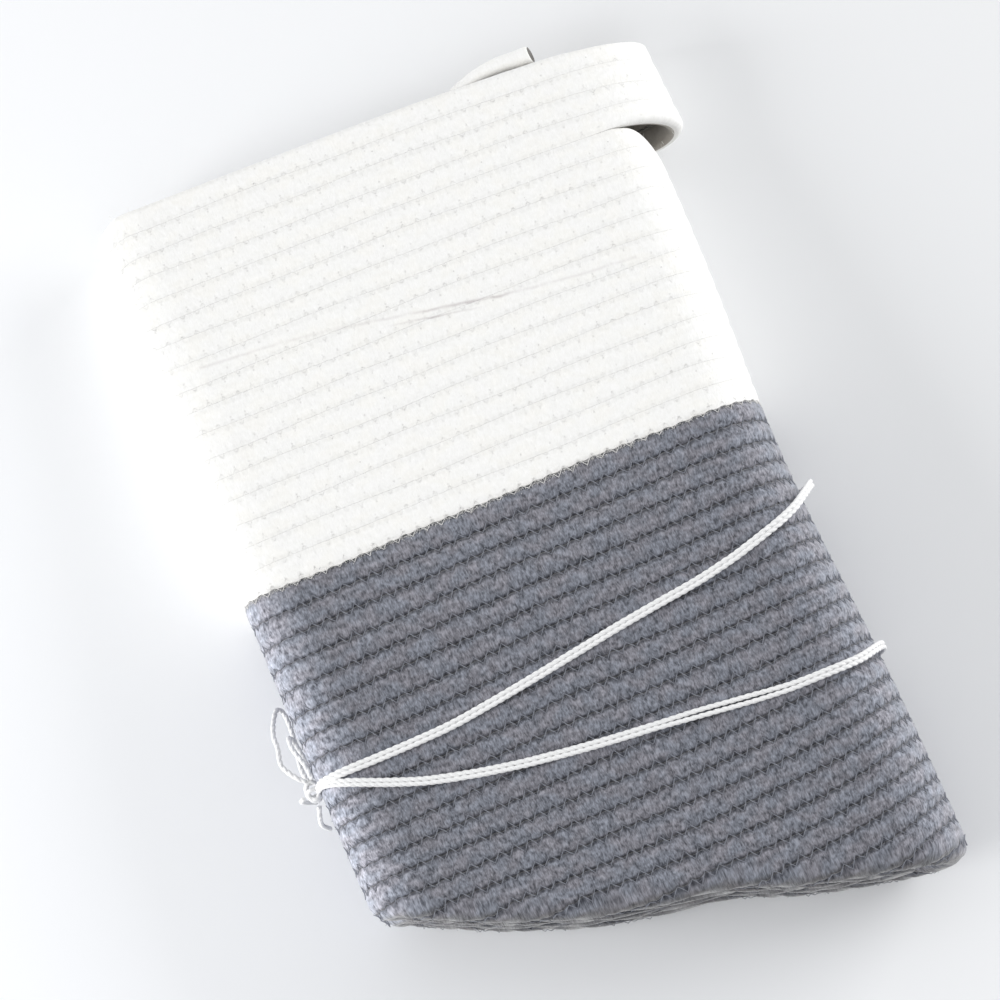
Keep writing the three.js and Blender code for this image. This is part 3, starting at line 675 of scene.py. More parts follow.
def seam_group():
    """Masks of the painted shade in the gaps of the furrow, which the crossing threads interrupt, and in the needle
    holes.
    """
    group, nodes, links, start, end = new_group(
        "sewn_seam", [("Stitch", "Vector", None), ("Along", "Vector", None), ("Furrow width", "Float", 0.12),
                      ("Hole size", "Float", 0.65), ("Upper side", "Float", 0.05)],
        ["Furrow", "Hole"])
    node = functools.partial(add_node, nodes, links)
    calc = calculator(nodes, links)
    parts = node("ShaderNodeSeparateXYZ", Vector=start.outputs["Stitch"])
    phase, row = parts.outputs["X"], parts.outputs["Y"]
    away = calc("SUBTRACT", 0.5, calc("ABSOLUTE", row))
    # the upper side of a row is seen at a slant, so its share of the gap is wider
    wide = calc("ADD", start.outputs["Furrow width"],
                calc("MULTIPLY", calc("LESS_THAN", row, 0.0), start.outputs["Upper side"]))
    near = calc("SUBTRACT", 1.0, calc("DIVIDE", away, wide))
    near = calc("MULTIPLY", near, FURROW_EDGE, clamp=True)
    # the thread crosses the seam twice in a period, at a quarter and three quarters
    gap = calc("ABSOLUTE", calc("COSINE", calc("MULTIPLY", phase, 2 * math.pi)))
    gap = calc("POWER", gap, GAP_SHAPE)
    # the gaps are uneven: each has its own size
    wander = node("ShaderNodeTexNoise", Vector=start.outputs["Along"], Scale=GAP_NOISE, Detail=1.0)
    gap = calc("MULTIPLY", gap, calc("MULTIPLY_ADD", wander.outputs["Fac"], GAP_SLOPE, GAP_OFFSET, clamp=True))
    links.new(calc("MULTIPLY", near, calc("MULTIPLY_ADD", gap, 1 - GAP_FLOOR, GAP_FLOOR)), end.inputs["Furrow"])
    # on the upper side of a row the holes are half a period later
    shift = calc("MULTIPLY", calc("GREATER_THAN", row, 0.0), 0.5)
    along = calc("SUBTRACT", calc("FRACT", calc("ADD", calc("SUBTRACT", phase, shift), 0.5)), 0.5)
    along = calc("MULTIPLY", along, STITCH_PERIOD)
    side = calc("MULTIPLY", calc("SUBTRACT", away, STITCH_HALF_WIDTH), ROW_HEIGHT)
    distance = calc("SQRT", calc("ADD", calc("MULTIPLY", along, along), calc("MULTIPLY", side, side)))
    hole = calc("SUBTRACT", 1.0, calc("DIVIDE", distance, start.outputs["Hole size"]), clamp=True)
    # only some holes show
    chance = node("ShaderNodeTexNoise", Vector=start.outputs["Along"], Scale=HOLE_NOISE, Detail=0.0)
    chance = calc("MULTIPLY_ADD", chance.outputs["Fac"], HOLE_SLOPE, HOLE_OFFSET, clamp=True)
    links.new(calc("MULTIPLY", hole, chance), end.inputs["Hole"])
    return group


seam_shade = seam_group()
print("seam group:", len(seam_shade.nodes), "nodes")


# %% Flecks
FLECK_EDGE = 2.0              # how sharply a fleck ends
NO_FLECK = 0.45               # the share of the noise's cells that stay empty


def fleck_group():
    """Single dark specks of cotton husk, about a centimetre apart."""
    group, nodes, links, start, end = new_group(
        "cotton_flecks", [("Along", "Vector", None), ("Spacing", "Float", 9.0), ("Size", "Float", 0.5)], ["Fleck"])
    node = functools.partial(add_node, nodes, links)
    calc = calculator(nodes, links)
    place = node("ShaderNodeVectorMath", [("operation", "DIVIDE")], _0=start.outputs["Along"],
                 _1=start.outputs["Spacing"])
    cells = node("ShaderNodeTexVoronoi", Vector=place.outputs["Vector"], Scale=1.0)
    chance = node("ShaderNodeSeparateColor", Color=cells.outputs["Color"])
    reach = calc("MULTIPLY", calc("DIVIDE", start.outputs["Size"], start.outputs["Spacing"]), chance.outputs["Green"])
    spot = calc("SUBTRACT", 1.0, calc("DIVIDE", cells.outputs["Distance"], reach), clamp=True)
    links.new(calc("MULTIPLY", calc("MULTIPLY", spot, FLECK_EDGE, clamp=True),
                   calc("GREATER_THAN", chance.outputs["Red"], NO_FLECK)), end.inputs["Fleck"])
    return group


flecks = fleck_group()
print("fleck group:", len(flecks.nodes), "nodes")

# %% Press line, painted shade
PRESS_START, PRESS_END = (-97.0, 325.5), (91.0, 293.5)      # on the front, in the bundle's own frame
# the colour of the painted shade in the pressed line
PRESS_SHADE_COLOUR = (0.36, 0.30, 0.31)
PRESS_BEND = 1.8              # millimetres that the mark waves and wanders to each side
# where a line is darkest and how far it fades from there, as parts of the mark's length
MAIN_MIDDLE, MAIN_FADE, MAIN_STRENGTH, MAIN_FLOOR = 0.61, 0.13, 0.66, 0.2
SECOND_MIDDLE, SECOND_FADE, SECOND_STRENGTH, SECOND_WIDTH = 0.54, 0.12, 0.55, 0.7
BREAK_SLOPE, BREAK_OFFSET = 2.4, -0.4           # how the noise breaks up both lines


def press_shade_group():
    """Painted shade of a faint double line where a string was pressed into the rows, darkest past its middle."""
    group, nodes, links, start, end = new_group(
        "press_shade", [("Place", "Vector", None), ("Line width", "Float", 1.05), ("Gap", "Float", 3.3)], ["Mark"])
    node = functools.partial(add_node, nodes, links)
    calc = calculator(nodes, links)
    first = to_frame([*PRESS_START, 0])
    way = to_frame([*PRESS_END, 0]) - first
    reach = float(np.linalg.norm(way))
    moved = node("ShaderNodeVectorMath", [("operation", "SUBTRACT")], _0=start.outputs["Place"],
                 _1=tuple(float(v) for v in first))
    turned = node("ShaderNodeVectorRotate", [("rotation_type", "Z_AXIS")], Vector=moved.outputs["Vector"],
                  Angle=-math.atan2(way[1], way[0]))
    parts = node("ShaderNodeSeparateXYZ", Vector=turned.outputs["Vector"])
    share = calc("DIVIDE", parts.outputs["X"], reach)
    aside = calc("DIVIDE", parts.outputs["Y"], MM)
    rough = node("ShaderNodeTexNoise", Vector=start.outputs["Place"], Scale=120.0, Detail=2.0)
    aside = calc("ADD", aside, calc("MULTIPLY", calc("SUBTRACT", rough.outputs["Fac"], 0.5), PRESS_BEND))
    bend = calc("SINE", calc("MULTIPLY", share, 2 * math.pi))
    aside = calc("SUBTRACT", aside, calc("MULTIPLY", bend, PRESS_BEND))
    # one line runs all the way, the other, below it, only near the middle
    first_line = calc("SUBTRACT", 1.0, calc("DIVIDE", calc("ABSOLUTE", aside), start.outputs["Line width"]),
                      clamp=True)
    lower = calc("ABSOLUTE", calc("ADD", aside, start.outputs["Gap"]))
    second_line = calc("SUBTRACT", 1.0, calc("DIVIDE", lower, calc("MULTIPLY", start.outputs["Line width"],
                                                                SECOND_WIDTH)), clamp=True)

    def bump_at(middle, fade):
        away = calc("ABSOLUTE", calc("SUBTRACT", share, middle))
        return calc("SUBTRACT", 1.0, calc("DIVIDE", away, fade), clamp=True)

    middle, earlier = bump_at(MAIN_MIDDLE, MAIN_FADE), bump_at(SECOND_MIDDLE, SECOND_FADE)
    inside = calc("MULTIPLY", calc("GREATER_THAN", share, 0.0), calc("LESS_THAN", share, 1.0))
    strength = calc("MULTIPLY", inside, calc("MULTIPLY_ADD", middle, MAIN_STRENGTH, MAIN_FLOOR))
    breaks = calc("MULTIPLY_ADD", rough.outputs["Fac"], BREAK_SLOPE, BREAK_OFFSET, clamp=True)
    both = calc("ADD", calc("MULTIPLY", first_line, strength),
                calc("MULTIPLY", second_line, calc("MULTIPLY", calc("MULTIPLY", earlier, SECOND_STRENGTH),
                                                  inside)))
    # the mark is on the front layer alone
    height = node("ShaderNodeSeparateXYZ", Vector=start.outputs["Place"])
    front = calc("GREATER_THAN", height.outputs["Z"], 0.6 * stack(0.5)["front"] * MM)
    links.new(calc("MULTIPLY", calc("MULTIPLY", both, breaks), front, clamp=True), end.inputs["Mark"])
    return group


press_shade = press_shade_group()
print("press mark group:", len(press_shade.nodes), "nodes")


# %% Cotton material
HIDDEN_SIDE, HIDDEN_EDGE = 17.0, 3.0  # millimetres round a rope's section, where its hidden side begins
HIDDEN_SHADE = (0.30, 0.27, 0.235)    # what is left of the light there
# how far a fold reaches inwards, the power by which its painted highlight turns it pale, how pale it is, and how much
# of the seams' painted shade fades there
RIGHT_FOLD = dict(reach=34.0, power=1.6, pale=0.65, open=0.45)
LEFT_FOLD = dict(reach=24.0, power=0.8, pale=1.2, open=0.8)
UNDER_FROM, UNDER_EDGE, UNDER_SHADE = -0.5, 0.35, 0.75      # of a face's turn downwards at the crease
TONE_ENDS, TINT_ENDS = (0.15, 0.85), (0.4, 0.5, 0.6)        # where the ramps of tone and of tint begin and end
HOLE_DEPTH, RELIEF_STRENGTH = -0.8, 0.8         # against the yarns' relief


def cotton(name, dark, light, furrow, mottling, relief, sheen, tints, furrow_shade_strength, hole_shade_strength,
           fleck_strength, inner_shade, furrow_width, painted_fold_light, pressed=False):
    """A rope's finish. Tones are dark and light yarn and the painted shade of the furrow; relief is in millimetres.
    """
    material = bpy.data.materials.new(name)
    material.use_nodes = True
    nodes, links = material.node_tree.nodes, material.node_tree.links
    shader = nodes["Principled BSDF"]
    shader.inputs["Roughness"].default_value = 0.92
    shader.inputs["Specular IOR Level"].default_value = 0.2
    shader.inputs["Sheen Weight"].default_value = sheen
    shader.inputs["Sheen Roughness"].default_value = 0.5
    calc = calculator(nodes, links)
    node = functools.partial(add_node, nodes, links)
    rope_map = node("ShaderNodeUVMap", [("uv_map", "rope")]).outputs["UV"]
    stitch_map = node("ShaderNodeUVMap", [("uv_map", "stitch")]).outputs["UV"]
    cotton_yarn = node("ShaderNodeGroup", [("node_tree", yarn)], Along=rope_map, Mottling=mottling)
    seam = node("ShaderNodeGroup", [("node_tree", seam_shade)], Stitch=stitch_map, Along=rope_map,
                Furrow_width=furrow_width)
    fleck = node("ShaderNodeGroup", [("node_tree", flecks)], Along=rope_map)
    ramp = node("ShaderNodeValToRGB", Fac=cotton_yarn.outputs["Shade"])
    for end, position, colour in zip(ramp.color_ramp.elements, TONE_ENDS, (dark, light)):
        end.position, end.color = position, (*colour, 1)
    tint = node("ShaderNodeValToRGB", Fac=cotton_yarn.outputs["Tint"])
    ends = tint.color_ramp.elements
    ends[0].position, ends[0].color = TINT_ENDS[0], (*tints[0], 1)
    ends[1].position, ends[1].color = TINT_ENDS[2], (*tints[2], 1)
    ends.new(TINT_ENDS[1]).color = (*tints[1], 1)
    dyed = node("ShaderNodeMixRGB", [("blend_type", "MULTIPLY")], Fac=1.0, Color1=ramp.outputs["Color"],
                Color2=tint.outputs["Color"])
    place = node("ShaderNodeTexCoord")
    across_bundle = node("ShaderNodeSeparateXYZ", Vector=place.outputs["Object"]).outputs["X"]
    right_start = (HALF_WIDTH + shift[0] - RIGHT_FOLD["reach"]) * MM
    left_start = (-HALF_WIDTH + shift[0] + LEFT_FOLD["reach"]) * MM
    right_fold = calc("DIVIDE", calc("SUBTRACT", across_bundle, right_start), RIGHT_FOLD["reach"] * MM, clamp=True)
    left_fold = calc("DIVIDE", calc("SUBTRACT", left_start, across_bundle), LEFT_FOLD["reach"] * MM, clamp=True)
    # painted shade in the seams' gaps and needle holes; the husk flecks below are the cotton's own colour
    shade = calc("ADD", calc("MULTIPLY", seam.outputs["Furrow"], furrow_shade_strength),
                 calc("MULTIPLY", seam.outputs["Hole"], hole_shade_strength), clamp=True)
    # the painted shade in the furrows fades towards the folds, where more light falls
    for fold, sizes in ((left_fold, LEFT_FOLD), (right_fold, RIGHT_FOLD)):
        shade = calc("MULTIPLY", shade, calc("SUBTRACT", 1.0, calc("MULTIPLY", fold, sizes["open"])))
    shade = calc("ADD", shade, calc("MULTIPLY", fleck.outputs["Fleck"], fleck_strength), clamp=True)
    marked = node("ShaderNodeMixRGB", Fac=shade, Color1=dyed.outputs["Color"], Color2=(*furrow, 1))
    colour = marked.outputs["Color"]
    # painted highlight: the folds, which catch more light, are painted paler, most of all the tight ones at the left
    # edge
    fold_highlight = [calc("MULTIPLY", calc("POWER", fold, sizes["power"]), sizes["pale"] * painted_fold_light)
               for fold, sizes in ((right_fold, RIGHT_FOLD), (left_fold, LEFT_FOLD))]
    paler = calc("ADD", calc("ADD", *fold_highlight), 1.0)
    lift = node("ShaderNodeCombineXYZ", _0=paler, _1=paler, _2=paler).outputs["Vector"]
    colour = node("ShaderNodeVectorMath", [("operation", "MULTIPLY")], _0=colour, _1=lift).outputs["Vector"]
    # the hidden side of a rope lies in the shade of the layer under it
    girth = node("ShaderNodeSeparateXYZ", Vector=rope_map).outputs["Y"]
    hidden = calc("MULTIPLY", calc("DIVIDE", calc("SUBTRACT", girth, HIDDEN_SIDE), HIDDEN_EDGE, clamp=True),
                  inner_shade)
    # so does what turns under at the bottom's crease
    facing = node("ShaderNodeSeparateXYZ", Vector=place.outputs["Normal"]).outputs["Y"]
    under = calc("DIVIDE", calc("SUBTRACT", UNDER_FROM, facing), UNDER_EDGE, clamp=True)
    hidden = calc("MAXIMUM", hidden, calc("MULTIPLY", under, UNDER_SHADE * painted_fold_light))
    colour = node("ShaderNodeMixRGB", [("blend_type", "MULTIPLY")], Fac=hidden, Color1=colour,
                  Color2=(*HIDDEN_SHADE, 1)).outputs["Color"]
    # painted shade of the line that a string pressed into the white rows
    if pressed:
        mark = node("ShaderNodeGroup", [("node_tree", press_shade)], Place=place.outputs["Object"])
        colour = node("ShaderNodeMixRGB", Fac=mark.outputs["Mark"], Color1=colour,
                      Color2=(*PRESS_SHADE_COLOUR, 1)).outputs["Color"]
    links.new(colour, shader.inputs["Base Color"])
    # a needle hole is lower than the yarns round it
    height = calc("MULTIPLY_ADD", seam.outputs["Hole"], HOLE_DEPTH, cotton_yarn.outputs["Height"])
    bump = node("ShaderNodeBump", Height=height, Distance=relief * MM, Strength=RELIEF_STRENGTH)
    links.new(bump.outputs["Normal"], shader.inputs["Normal"])
    return material


# cooler, plain and warmer patches
WHITE_TINTS = ((0.995, 0.995, 1.0), (1.0, 1.0, 1.0), (1.0, 0.995, 0.985))
GREY_TINTS = ((0.91, 0.95, 1.0), (0.94, 0.95, 0.98), (0.975, 0.95, 0.965))
# furrow is the colour of the painted shade in the seams' gaps and needle holes
white_cotton = cotton(
    "white_cotton", dark=(0.85, 0.845, 0.82), light=(0.93, 0.925, 0.91), furrow=(0.50, 0.49, 0.47),
    mottling=1.0, relief=0.25, sheen=0.3, tints=WHITE_TINTS, furrow_shade_strength=0.15, hole_shade_strength=0.5,
    fleck_strength=0.6, inner_shade=0.85, furrow_width=0.2, painted_fold_light=0.1, pressed=True)
# the grey's folds get the painted highlight and the crease's painted shade in full, the white's a tenth of it
grey_cotton = cotton(
    "grey_cotton", dark=(0.060, 0.062, 0.073), light=(0.332, 0.337, 0.374), furrow=(0.018, 0.02, 0.03),
    mottling=1.2, relief=0.6, sheen=0.6, tints=GREY_TINTS, furrow_shade_strength=0.9, hole_shade_strength=0.3,
    fleck_strength=0.0, inner_shade=0.5, furrow_width=0.12, painted_fold_light=1.0)


SPECKLE = 0.75                # the darker tone, against the lighter


def plain_cotton(name, colour):
    """Thread and string: too thin for more than one tone and a fine speckle."""
    material = bpy.data.materials.new(name)
    material.use_nodes = True
    nodes, links = material.node_tree.nodes, material.node_tree.links
    node = functools.partial(add_node, nodes, links)
    shader = nodes["Principled BSDF"]
    shader.inputs["Roughness"].default_value = 0.85
    place = node("ShaderNodeTexCoord")
    noise = node("ShaderNodeTexNoise", Vector=place.outputs["Object"], Scale=1500)
    shaded = (*(SPECKLE * c for c in colour), 1)
    mixed = node("ShaderNodeMixRGB", Fac=noise.outputs["Fac"], Color1=shaded, Color2=(*colour, 1))
    links.new(mixed.outputs["Color"], shader.inputs["Base Color"])
    return material


white_thread = plain_cotton("white_thread", (0.93, 0.92, 0.90))
grey_thread = plain_cotton("grey_thread", (0.27, 0.283, 0.325))
string_cotton = plain_cotton("string_cotton", (0.97, 0.97, 0.97))
print(len(bpy.data.materials), "materials")

# %% Ropes of the wall
ROPE_GIRTH = 28.0             # millimetres round a rope


def rope_piece(name, first, last, material, node):
    """One rope from row to row, with its two UV maps: along and round it, and in stitches."""
    furrow = WHITE_FURROW if last <= WHITE_ROWS else GREY_FURROW
    rings, stitch, along = rope_rings(first, last, furrow)
    piece = tubes_object(name, [rings], material)
    count, sides = rings.shape[:2]
    rows, outs, _ = rope_section(furrow)
    # the hidden walls against the next rows are shaded apart, so the furrow keeps its own soft light
    smooth = np.ones(len(piece.data.polygons), bool)
    walls = np.flatnonzero(np.diff(rows) == 0)
    smooth[(np.arange(count - 1)[:, None] * sides + walls).ravel()] = False
    piece.data.polygons.foreach_set("use_smooth", smooth)
    girth = np.hypot(np.diff(rows) * GREY_PITCH, np.diff(outs))
    v = np.broadcast_to(np.concatenate([[0], np.cumsum(girth)]), (count, sides))
    uv = np.stack([np.broadcast_to(along[:, None], (count, sides)), v], axis=-1).reshape(-1, 2)
    ends = np.zeros((2, 2))
    set_uv(piece, "rope", np.concatenate([uv, ends]))
    set_uv(piece, "stitch", np.concatenate([stitch.reshape(-1, 2), ends]))
    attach(piece, "root")
    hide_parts(node)
    print(name, len(piece.data.polygons), "faces,", round(along[-1] * MM, 2), "m of rope")


rope_piece("handle_rope", 1, HANDLE_ROWS, white_cotton, "handle_rows_white")
rope_piece("white_wall_rope_1", 5, 10, white_cotton, "wall_rope_white")
rope_piece("white_wall_rope_2", 11, WHITE_ROWS, white_cotton, "wall_rope_white")
rope_piece("grey_wall_rope_1", 18, 24, grey_cotton, "wall_rope_grey")
rope_piece("grey_wall_rope_2", 25, 32, grey_cotton, "wall_rope_grey")
rope_piece("grey_wall_rope_3", 33, ALL_ROWS, grey_cotton, "wall_rope_grey")

# %% [markdown]
# Zigzag stitches
#
# Every seam is closed by a zigzag: the needle goes down in one row, then in the other, and the thread crosses
# the furrow between them. That is one small shape repeated thousands of times along a path, which is work for
# Geometry Nodes: a seam comes in as a polyline with a point at every needle hole and crossing, and each point
# knows the way to its own side. The tree moves the holes there, and sweeps a thread along the points.

# %% Thread along a seam
WHITE_THREAD_RADIUS, GREY_THREAD_RADIUS = 0.12, 0.18
NEEDLE_REACH = 2.2            # from the seam to a needle hole
LEAST_REACH, REACH_SPREAD = 0.75, 0.4           # how unevenly far the needle reaches, against the above
HOLE_JITTER = 0.11            # to each side along the seam, of half a stitch
SEWN_TURN = 0.8               # of the half turn at the crease, up to which the seams are shown


def new_tree(name, inputs):
    """An empty Geometry Nodes tree; inputs are (name, kind, value)."""
    tree = bpy.data.node_groups.new(name, "GeometryNodeTree")
    tree.interface.new_socket("Geometry", in_out="INPUT", socket_type="NodeSocketGeometry")
    for label, kind, value in inputs:
        socket = tree.interface.new_socket(label, in_out="INPUT", socket_type="NodeSocket" + kind)
        if value is not None:
            socket.default_value = value
    tree.interface.new_socket("Geometry", in_out="OUTPUT", socket_type="NodeSocketGeometry")
    nodes = tree.nodes
    return tree, nodes, tree.links, nodes.new("NodeGroupInput"), nodes.new("NodeGroupOutput")


def stitch_tree():
    """Moves the points of a seam to their sides, and sweeps a thread along them."""
    tree, nodes, links, start, end = new_tree("zigzag_stitch", [
        ("Needle reach", "Float", NEEDLE_REACH * MM), ("Thread radius", "Float", GREY_THREAD_RADIUS * MM),
        ("Unevenness", "Float", REACH_SPREAD), ("Thread", "Material", None)])
    node = functools.partial(add_node, nodes, links)
    seams = node("GeometryNodeMeshToCurve", _0=start.outputs["Geometry"])
    chance = node("FunctionNodeRandomValue", [("data_type", "FLOAT")], Seed=7)
    jitter = node("ShaderNodeMath", [("operation", "MULTIPLY_ADD")], _0=chance.outputs["Value"],
                  _1=start.outputs["Unevenness"], _2=LEAST_REACH)
    reach = node("ShaderNodeMath", [("operation", "MULTIPLY")], _0=start.outputs["Needle reach"],
                 _1=jitter.outputs[0])
    across_seam = node("GeometryNodeInputNamedAttribute", [("data_type", "FLOAT_VECTOR")], Name="across")
    offset = node("ShaderNodeVectorMath", [("operation", "SCALE")], _0=across_seam.outputs["Attribute"],
                  Scale=reach.outputs[0])
    moved = node("GeometryNodeSetPosition", Geometry=seams.outputs["Curve"], Offset=offset.outputs["Vector"])
    profile = node("GeometryNodeCurvePrimitiveCircle", Resolution=4, Radius=start.outputs["Thread radius"])
    thread = node("GeometryNodeCurveToMesh", Curve=moved.outputs["Geometry"], Profile_Curve=profile.outputs["Curve"],
                  Fill_Caps=True)
    real = node("GeometryNodeRealizeInstances", Geometry=thread.outputs["Mesh"])
    finish = node("GeometryNodeSetMaterial", Geometry=real.outputs["Geometry"], Material=start.outputs["Thread"])
    links.new(finish.outputs["Geometry"], end.inputs["Geometry"])
    return tree


def grown(source, name, tree, values):
    """Runs a Geometry Nodes tree on an object and returns its result as a plain mesh object."""
    modifier = source.modifiers.new("grow", "NODES")
    modifier.node_group = tree
    sockets = {item.name: item.identifier for item in tree.interface.items_tree if item.in_out == "INPUT"}
    for key, value in values.items():
        modifier[sockets[key]] = value
    source.update_tag()
    view = bpy.context.evaluated_depsgraph_get()
    mesh = bpy.data.meshes.new_from_object(source.evaluated_get(view), depsgraph=view)
    mesh.name = name
    source.modifiers.remove(modifier)
    bpy.data.objects.remove(source)
    piece = bpy.data.objects.new(name, mesh)
    bpy.context.scene.collection.objects.link(piece)
    return piece


# %% Seam lines
def seam_runs(seam):
    """Needle holes and crossings of one seam with the way to their own side, and which ones are really sewn."""
    stations, lengths = seam_lengths(seam)
    count = int(2 * lengths[-1] / STITCH_LENGTH)
    uneven = np.random.default_rng(seam).uniform(-HOLE_JITTER, HOLE_JITTER, count)
    place = np.interp((np.arange(count) + uneven) * STITCH_LENGTH / 2, lengths, stations)
    at_hole, at_crossing = (WHITE_FURROW if seam < WHITE_ROWS else GREY_FURROW)["thread"]
    heights = np.where(np.arange(count) % 2 == 0, at_hole, at_crossing)
    points, sideways, keep = np.zeros((count, 3)), np.zeros((count, 3)), np.zeros(count, bool)
    for leg in VISIBLE_LEGS:
        here = np.flatnonzero((place >= leg) & (place < leg + 1))
        t, row = place[here] - leg, np.full(len(here), float(seam))
        height = heights[here]
        points[here] = sheet(leg, t, row, height)
        sideways[here] = sheet(leg, t, row + 0.2, height) - sheet(leg, t, row - 0.2, height)
        flat = row_y(across(leg, t), row)
        keep[here] = (crease_at(leg, t) - flat) * crease_cosine < math.pi * ROLL_RADIUS * SEWN_TURN
        if seam == HANDLE_ROWS:
            keep[here] &= handle_share(leg, t, spread_at(flat)) < 0.02
    sideways /= np.linalg.norm(sideways, axis=1)[:, None]
    side = np.array([1.0, 0.0, -1.0, 0.0])[np.arange(count) % 4, None]
    return points, sideways * side, keep


def seam_source(name, seams):
    """The polylines of some seams as one object, with the way across each point as an attribute."""
    points, sideways, edges, start = [], [], [], 0
    for seam in seams:
        run, way, keep = seam_runs(seam)
        joined = np.flatnonzero(keep[:-1] & keep[1:]) + start
        edges.append(np.stack([joined, joined + 1], axis=-1))
        points.append(run)
        sideways.append(way)
        start += len(run)
    points, sideways, edges = np.concatenate(points), np.concatenate(sideways), np.concatenate(edges)
    mesh = bpy.data.meshes.new(name)
    mesh.from_pydata(to_frame(points).tolist(), edges.tolist(), [])
    mesh.attributes.new("across", "FLOAT_VECTOR", "POINT").data.foreach_set(
        "vector", sideways.astype(np.float32).ravel())
    source = bpy.data.objects.new(name, mesh)
    bpy.context.scene.collection.objects.link(source)
    return source


zigzag = stitch_tree()
# name, seams, thread, its radius and the slot
for name, seams, thread, radius, slot in (
        ("white_stitches", range(1, WHITE_ROWS), white_thread, WHITE_THREAD_RADIUS, "white_cotton"),
        ("colour_line_stitches", [WHITE_ROWS], white_thread, GREY_THREAD_RADIUS, "white_cotton"),
        ("grey_stitches", range(WHITE_ROWS + 1, ALL_ROWS), grey_thread, GREY_THREAD_RADIUS, "grey_cotton")):
    piece = grown(seam_source(name + "_seams", seams), name, zigzag,
                  {"Thread": thread, "Thread radius": radius * MM})
    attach(piece, "root")
    print(name, len(piece.data.polygons), "faces")

# %% [markdown]
# Loose fibres
#
# Brushed cotton has a fine fuzz that softens every edge, most of all along the line where the grey meets the
# white. Hair particles could make it, but the result has to be plain mesh, so a Geometry Nodes tree scatters
# points over a thin skin of the wall, with a fixed seed, and puts a small curved fibre on each.

# %% Fibre tree
FIBRE_LENGTH = 2.4
FIBRE_RADIUS = 0.065
# the bend of a fibre of length one: its start, its two handles and its end
FIBRE_BEND = dict(Start=(0, 0, -0.02), Start_Handle=(0.3, 0, 0.25), End_Handle=(0.7, 0.1, 0.3), End=(0.9, 0.35, 0.12))
FIBRE_TURN = (-0.5, -0.3, 0), (0.2, 0.3, 2 * math.pi)       # least and most about each axis, in radians
FIBRE_GROWTH = 0.45, 1.3      # the shortest and the longest, against the length above


def fibre_tree():
    """Scatters points over a sheet and puts a small curved fibre on each."""
    tree, nodes, links, start, end = new_tree("loose_fibres", [
        ("Density", "Float", 1e5), ("Fibre length", "Float", FIBRE_LENGTH * MM),
        ("Fibre radius", "Float", FIBRE_RADIUS * MM), ("Seed", "Int", 3), ("Fibre", "Material", None)])
    node = functools.partial(add_node, nodes, links)
    points = node("GeometryNodeDistributePointsOnFaces", Mesh=start.outputs["Geometry"],
                  Density=start.outputs["Density"], Seed=start.outputs["Seed"])
    unit = node("GeometryNodeCurvePrimitiveBezierSegment", Resolution=4, **FIBRE_BEND)
    sized = node("GeometryNodeTransform", Geometry=unit.outputs["Curve"])
    size = node("ShaderNodeCombineXYZ", _0=start.outputs["Fibre length"], _1=start.outputs["Fibre length"],
                _2=start.outputs["Fibre length"])
    links.new(size.outputs["Vector"], sized.inputs["Scale"])
    profile = node("GeometryNodeCurvePrimitiveCircle", Resolution=3, Radius=start.outputs["Fibre radius"])
    fibre = node("GeometryNodeCurveToMesh", Curve=sized.outputs["Geometry"], Profile_Curve=profile.outputs["Curve"],
                 Fill_Caps=True)
    turn = node("FunctionNodeRandomValue", [("data_type", "FLOAT_VECTOR")], Seed=11)
    turn.inputs[0].default_value, turn.inputs[1].default_value = FIBRE_TURN
    euler = node("FunctionNodeEulerToRotation", Euler=turn.outputs[0])
    way = node("FunctionNodeRotateRotation", [("rotation_space", "LOCAL")], Rotation=points.outputs["Rotation"],
               Rotate_By=euler.outputs["Rotation"])
    growth = node("FunctionNodeRandomValue", [("data_type", "FLOAT")], Seed=5)
    growth.inputs[2].default_value, growth.inputs[3].default_value = FIBRE_GROWTH
    fibres = node("GeometryNodeInstanceOnPoints", Points=points.outputs["Points"], Instance=fibre.outputs["Mesh"],
                  Rotation=way.outputs["Rotation"], Scale=growth.outputs[1])
    real = node("GeometryNodeRealizeInstances", Geometry=fibres.outputs["Instances"])
    finish = node("GeometryNodeSetMaterial", Geometry=real.outputs["Geometry"], Material=start.outputs["Fibre"])
    links.new(finish.outputs["Geometry"], end.inputs["Geometry"])
    return tree


# %% Skin of the wall
SKIN_DEPTH, SKIN_ROW_STEP = 0.25, 0.25          # millimetres under the ropes' surface, and rows
FUZZY_TURN = 0.6              # of the half turn at the crease, up to which there are fibres


def wall_skin(name, first_seam, last_seam):
    """The outside of some rows as a thin sheet, which only carries the fibres."""
    rows = np.arange(first_seam, last_seam + 0.01, SKIN_ROW_STEP)
    columns = []
    for leg in VISIBLE_LEGS:
        t = np.linspace(0, 1, 60 if leg in (BACK, FRONT) else 12)
        columns.append(sheet(leg, t[:, None], rows[None, :], ROPE_OUTER_HALF - SKIN_DEPTH))
        flat = row_y(across(leg, t[:, None]), rows[None, :])
        hidden = (crease_at(leg, t)[:, None] - flat) * crease_cosine > math.pi * ROLL_RADIUS * FUZZY_TURN
        columns[-1] = np.where(hidden[..., None], np.nan, columns[-1])
    grid = np.concatenate(columns)
    count, wide = grid.shape[:2]
    index = np.arange(count * wide).reshape(count, wide)
    faces = np.stack([index[:-1, :-1], index[:-1, 1:], index[1:, 1:], index[1:, :-1]], axis=-1).reshape(-1, 4)
    points = grid.reshape(-1, 3)
    faces = faces[~np.isnan(points[faces]).any(axis=(1, 2))]
    return mesh_object(name, np.nan_to_num(points), faces, white_cotton)


fuzz = fibre_tree()
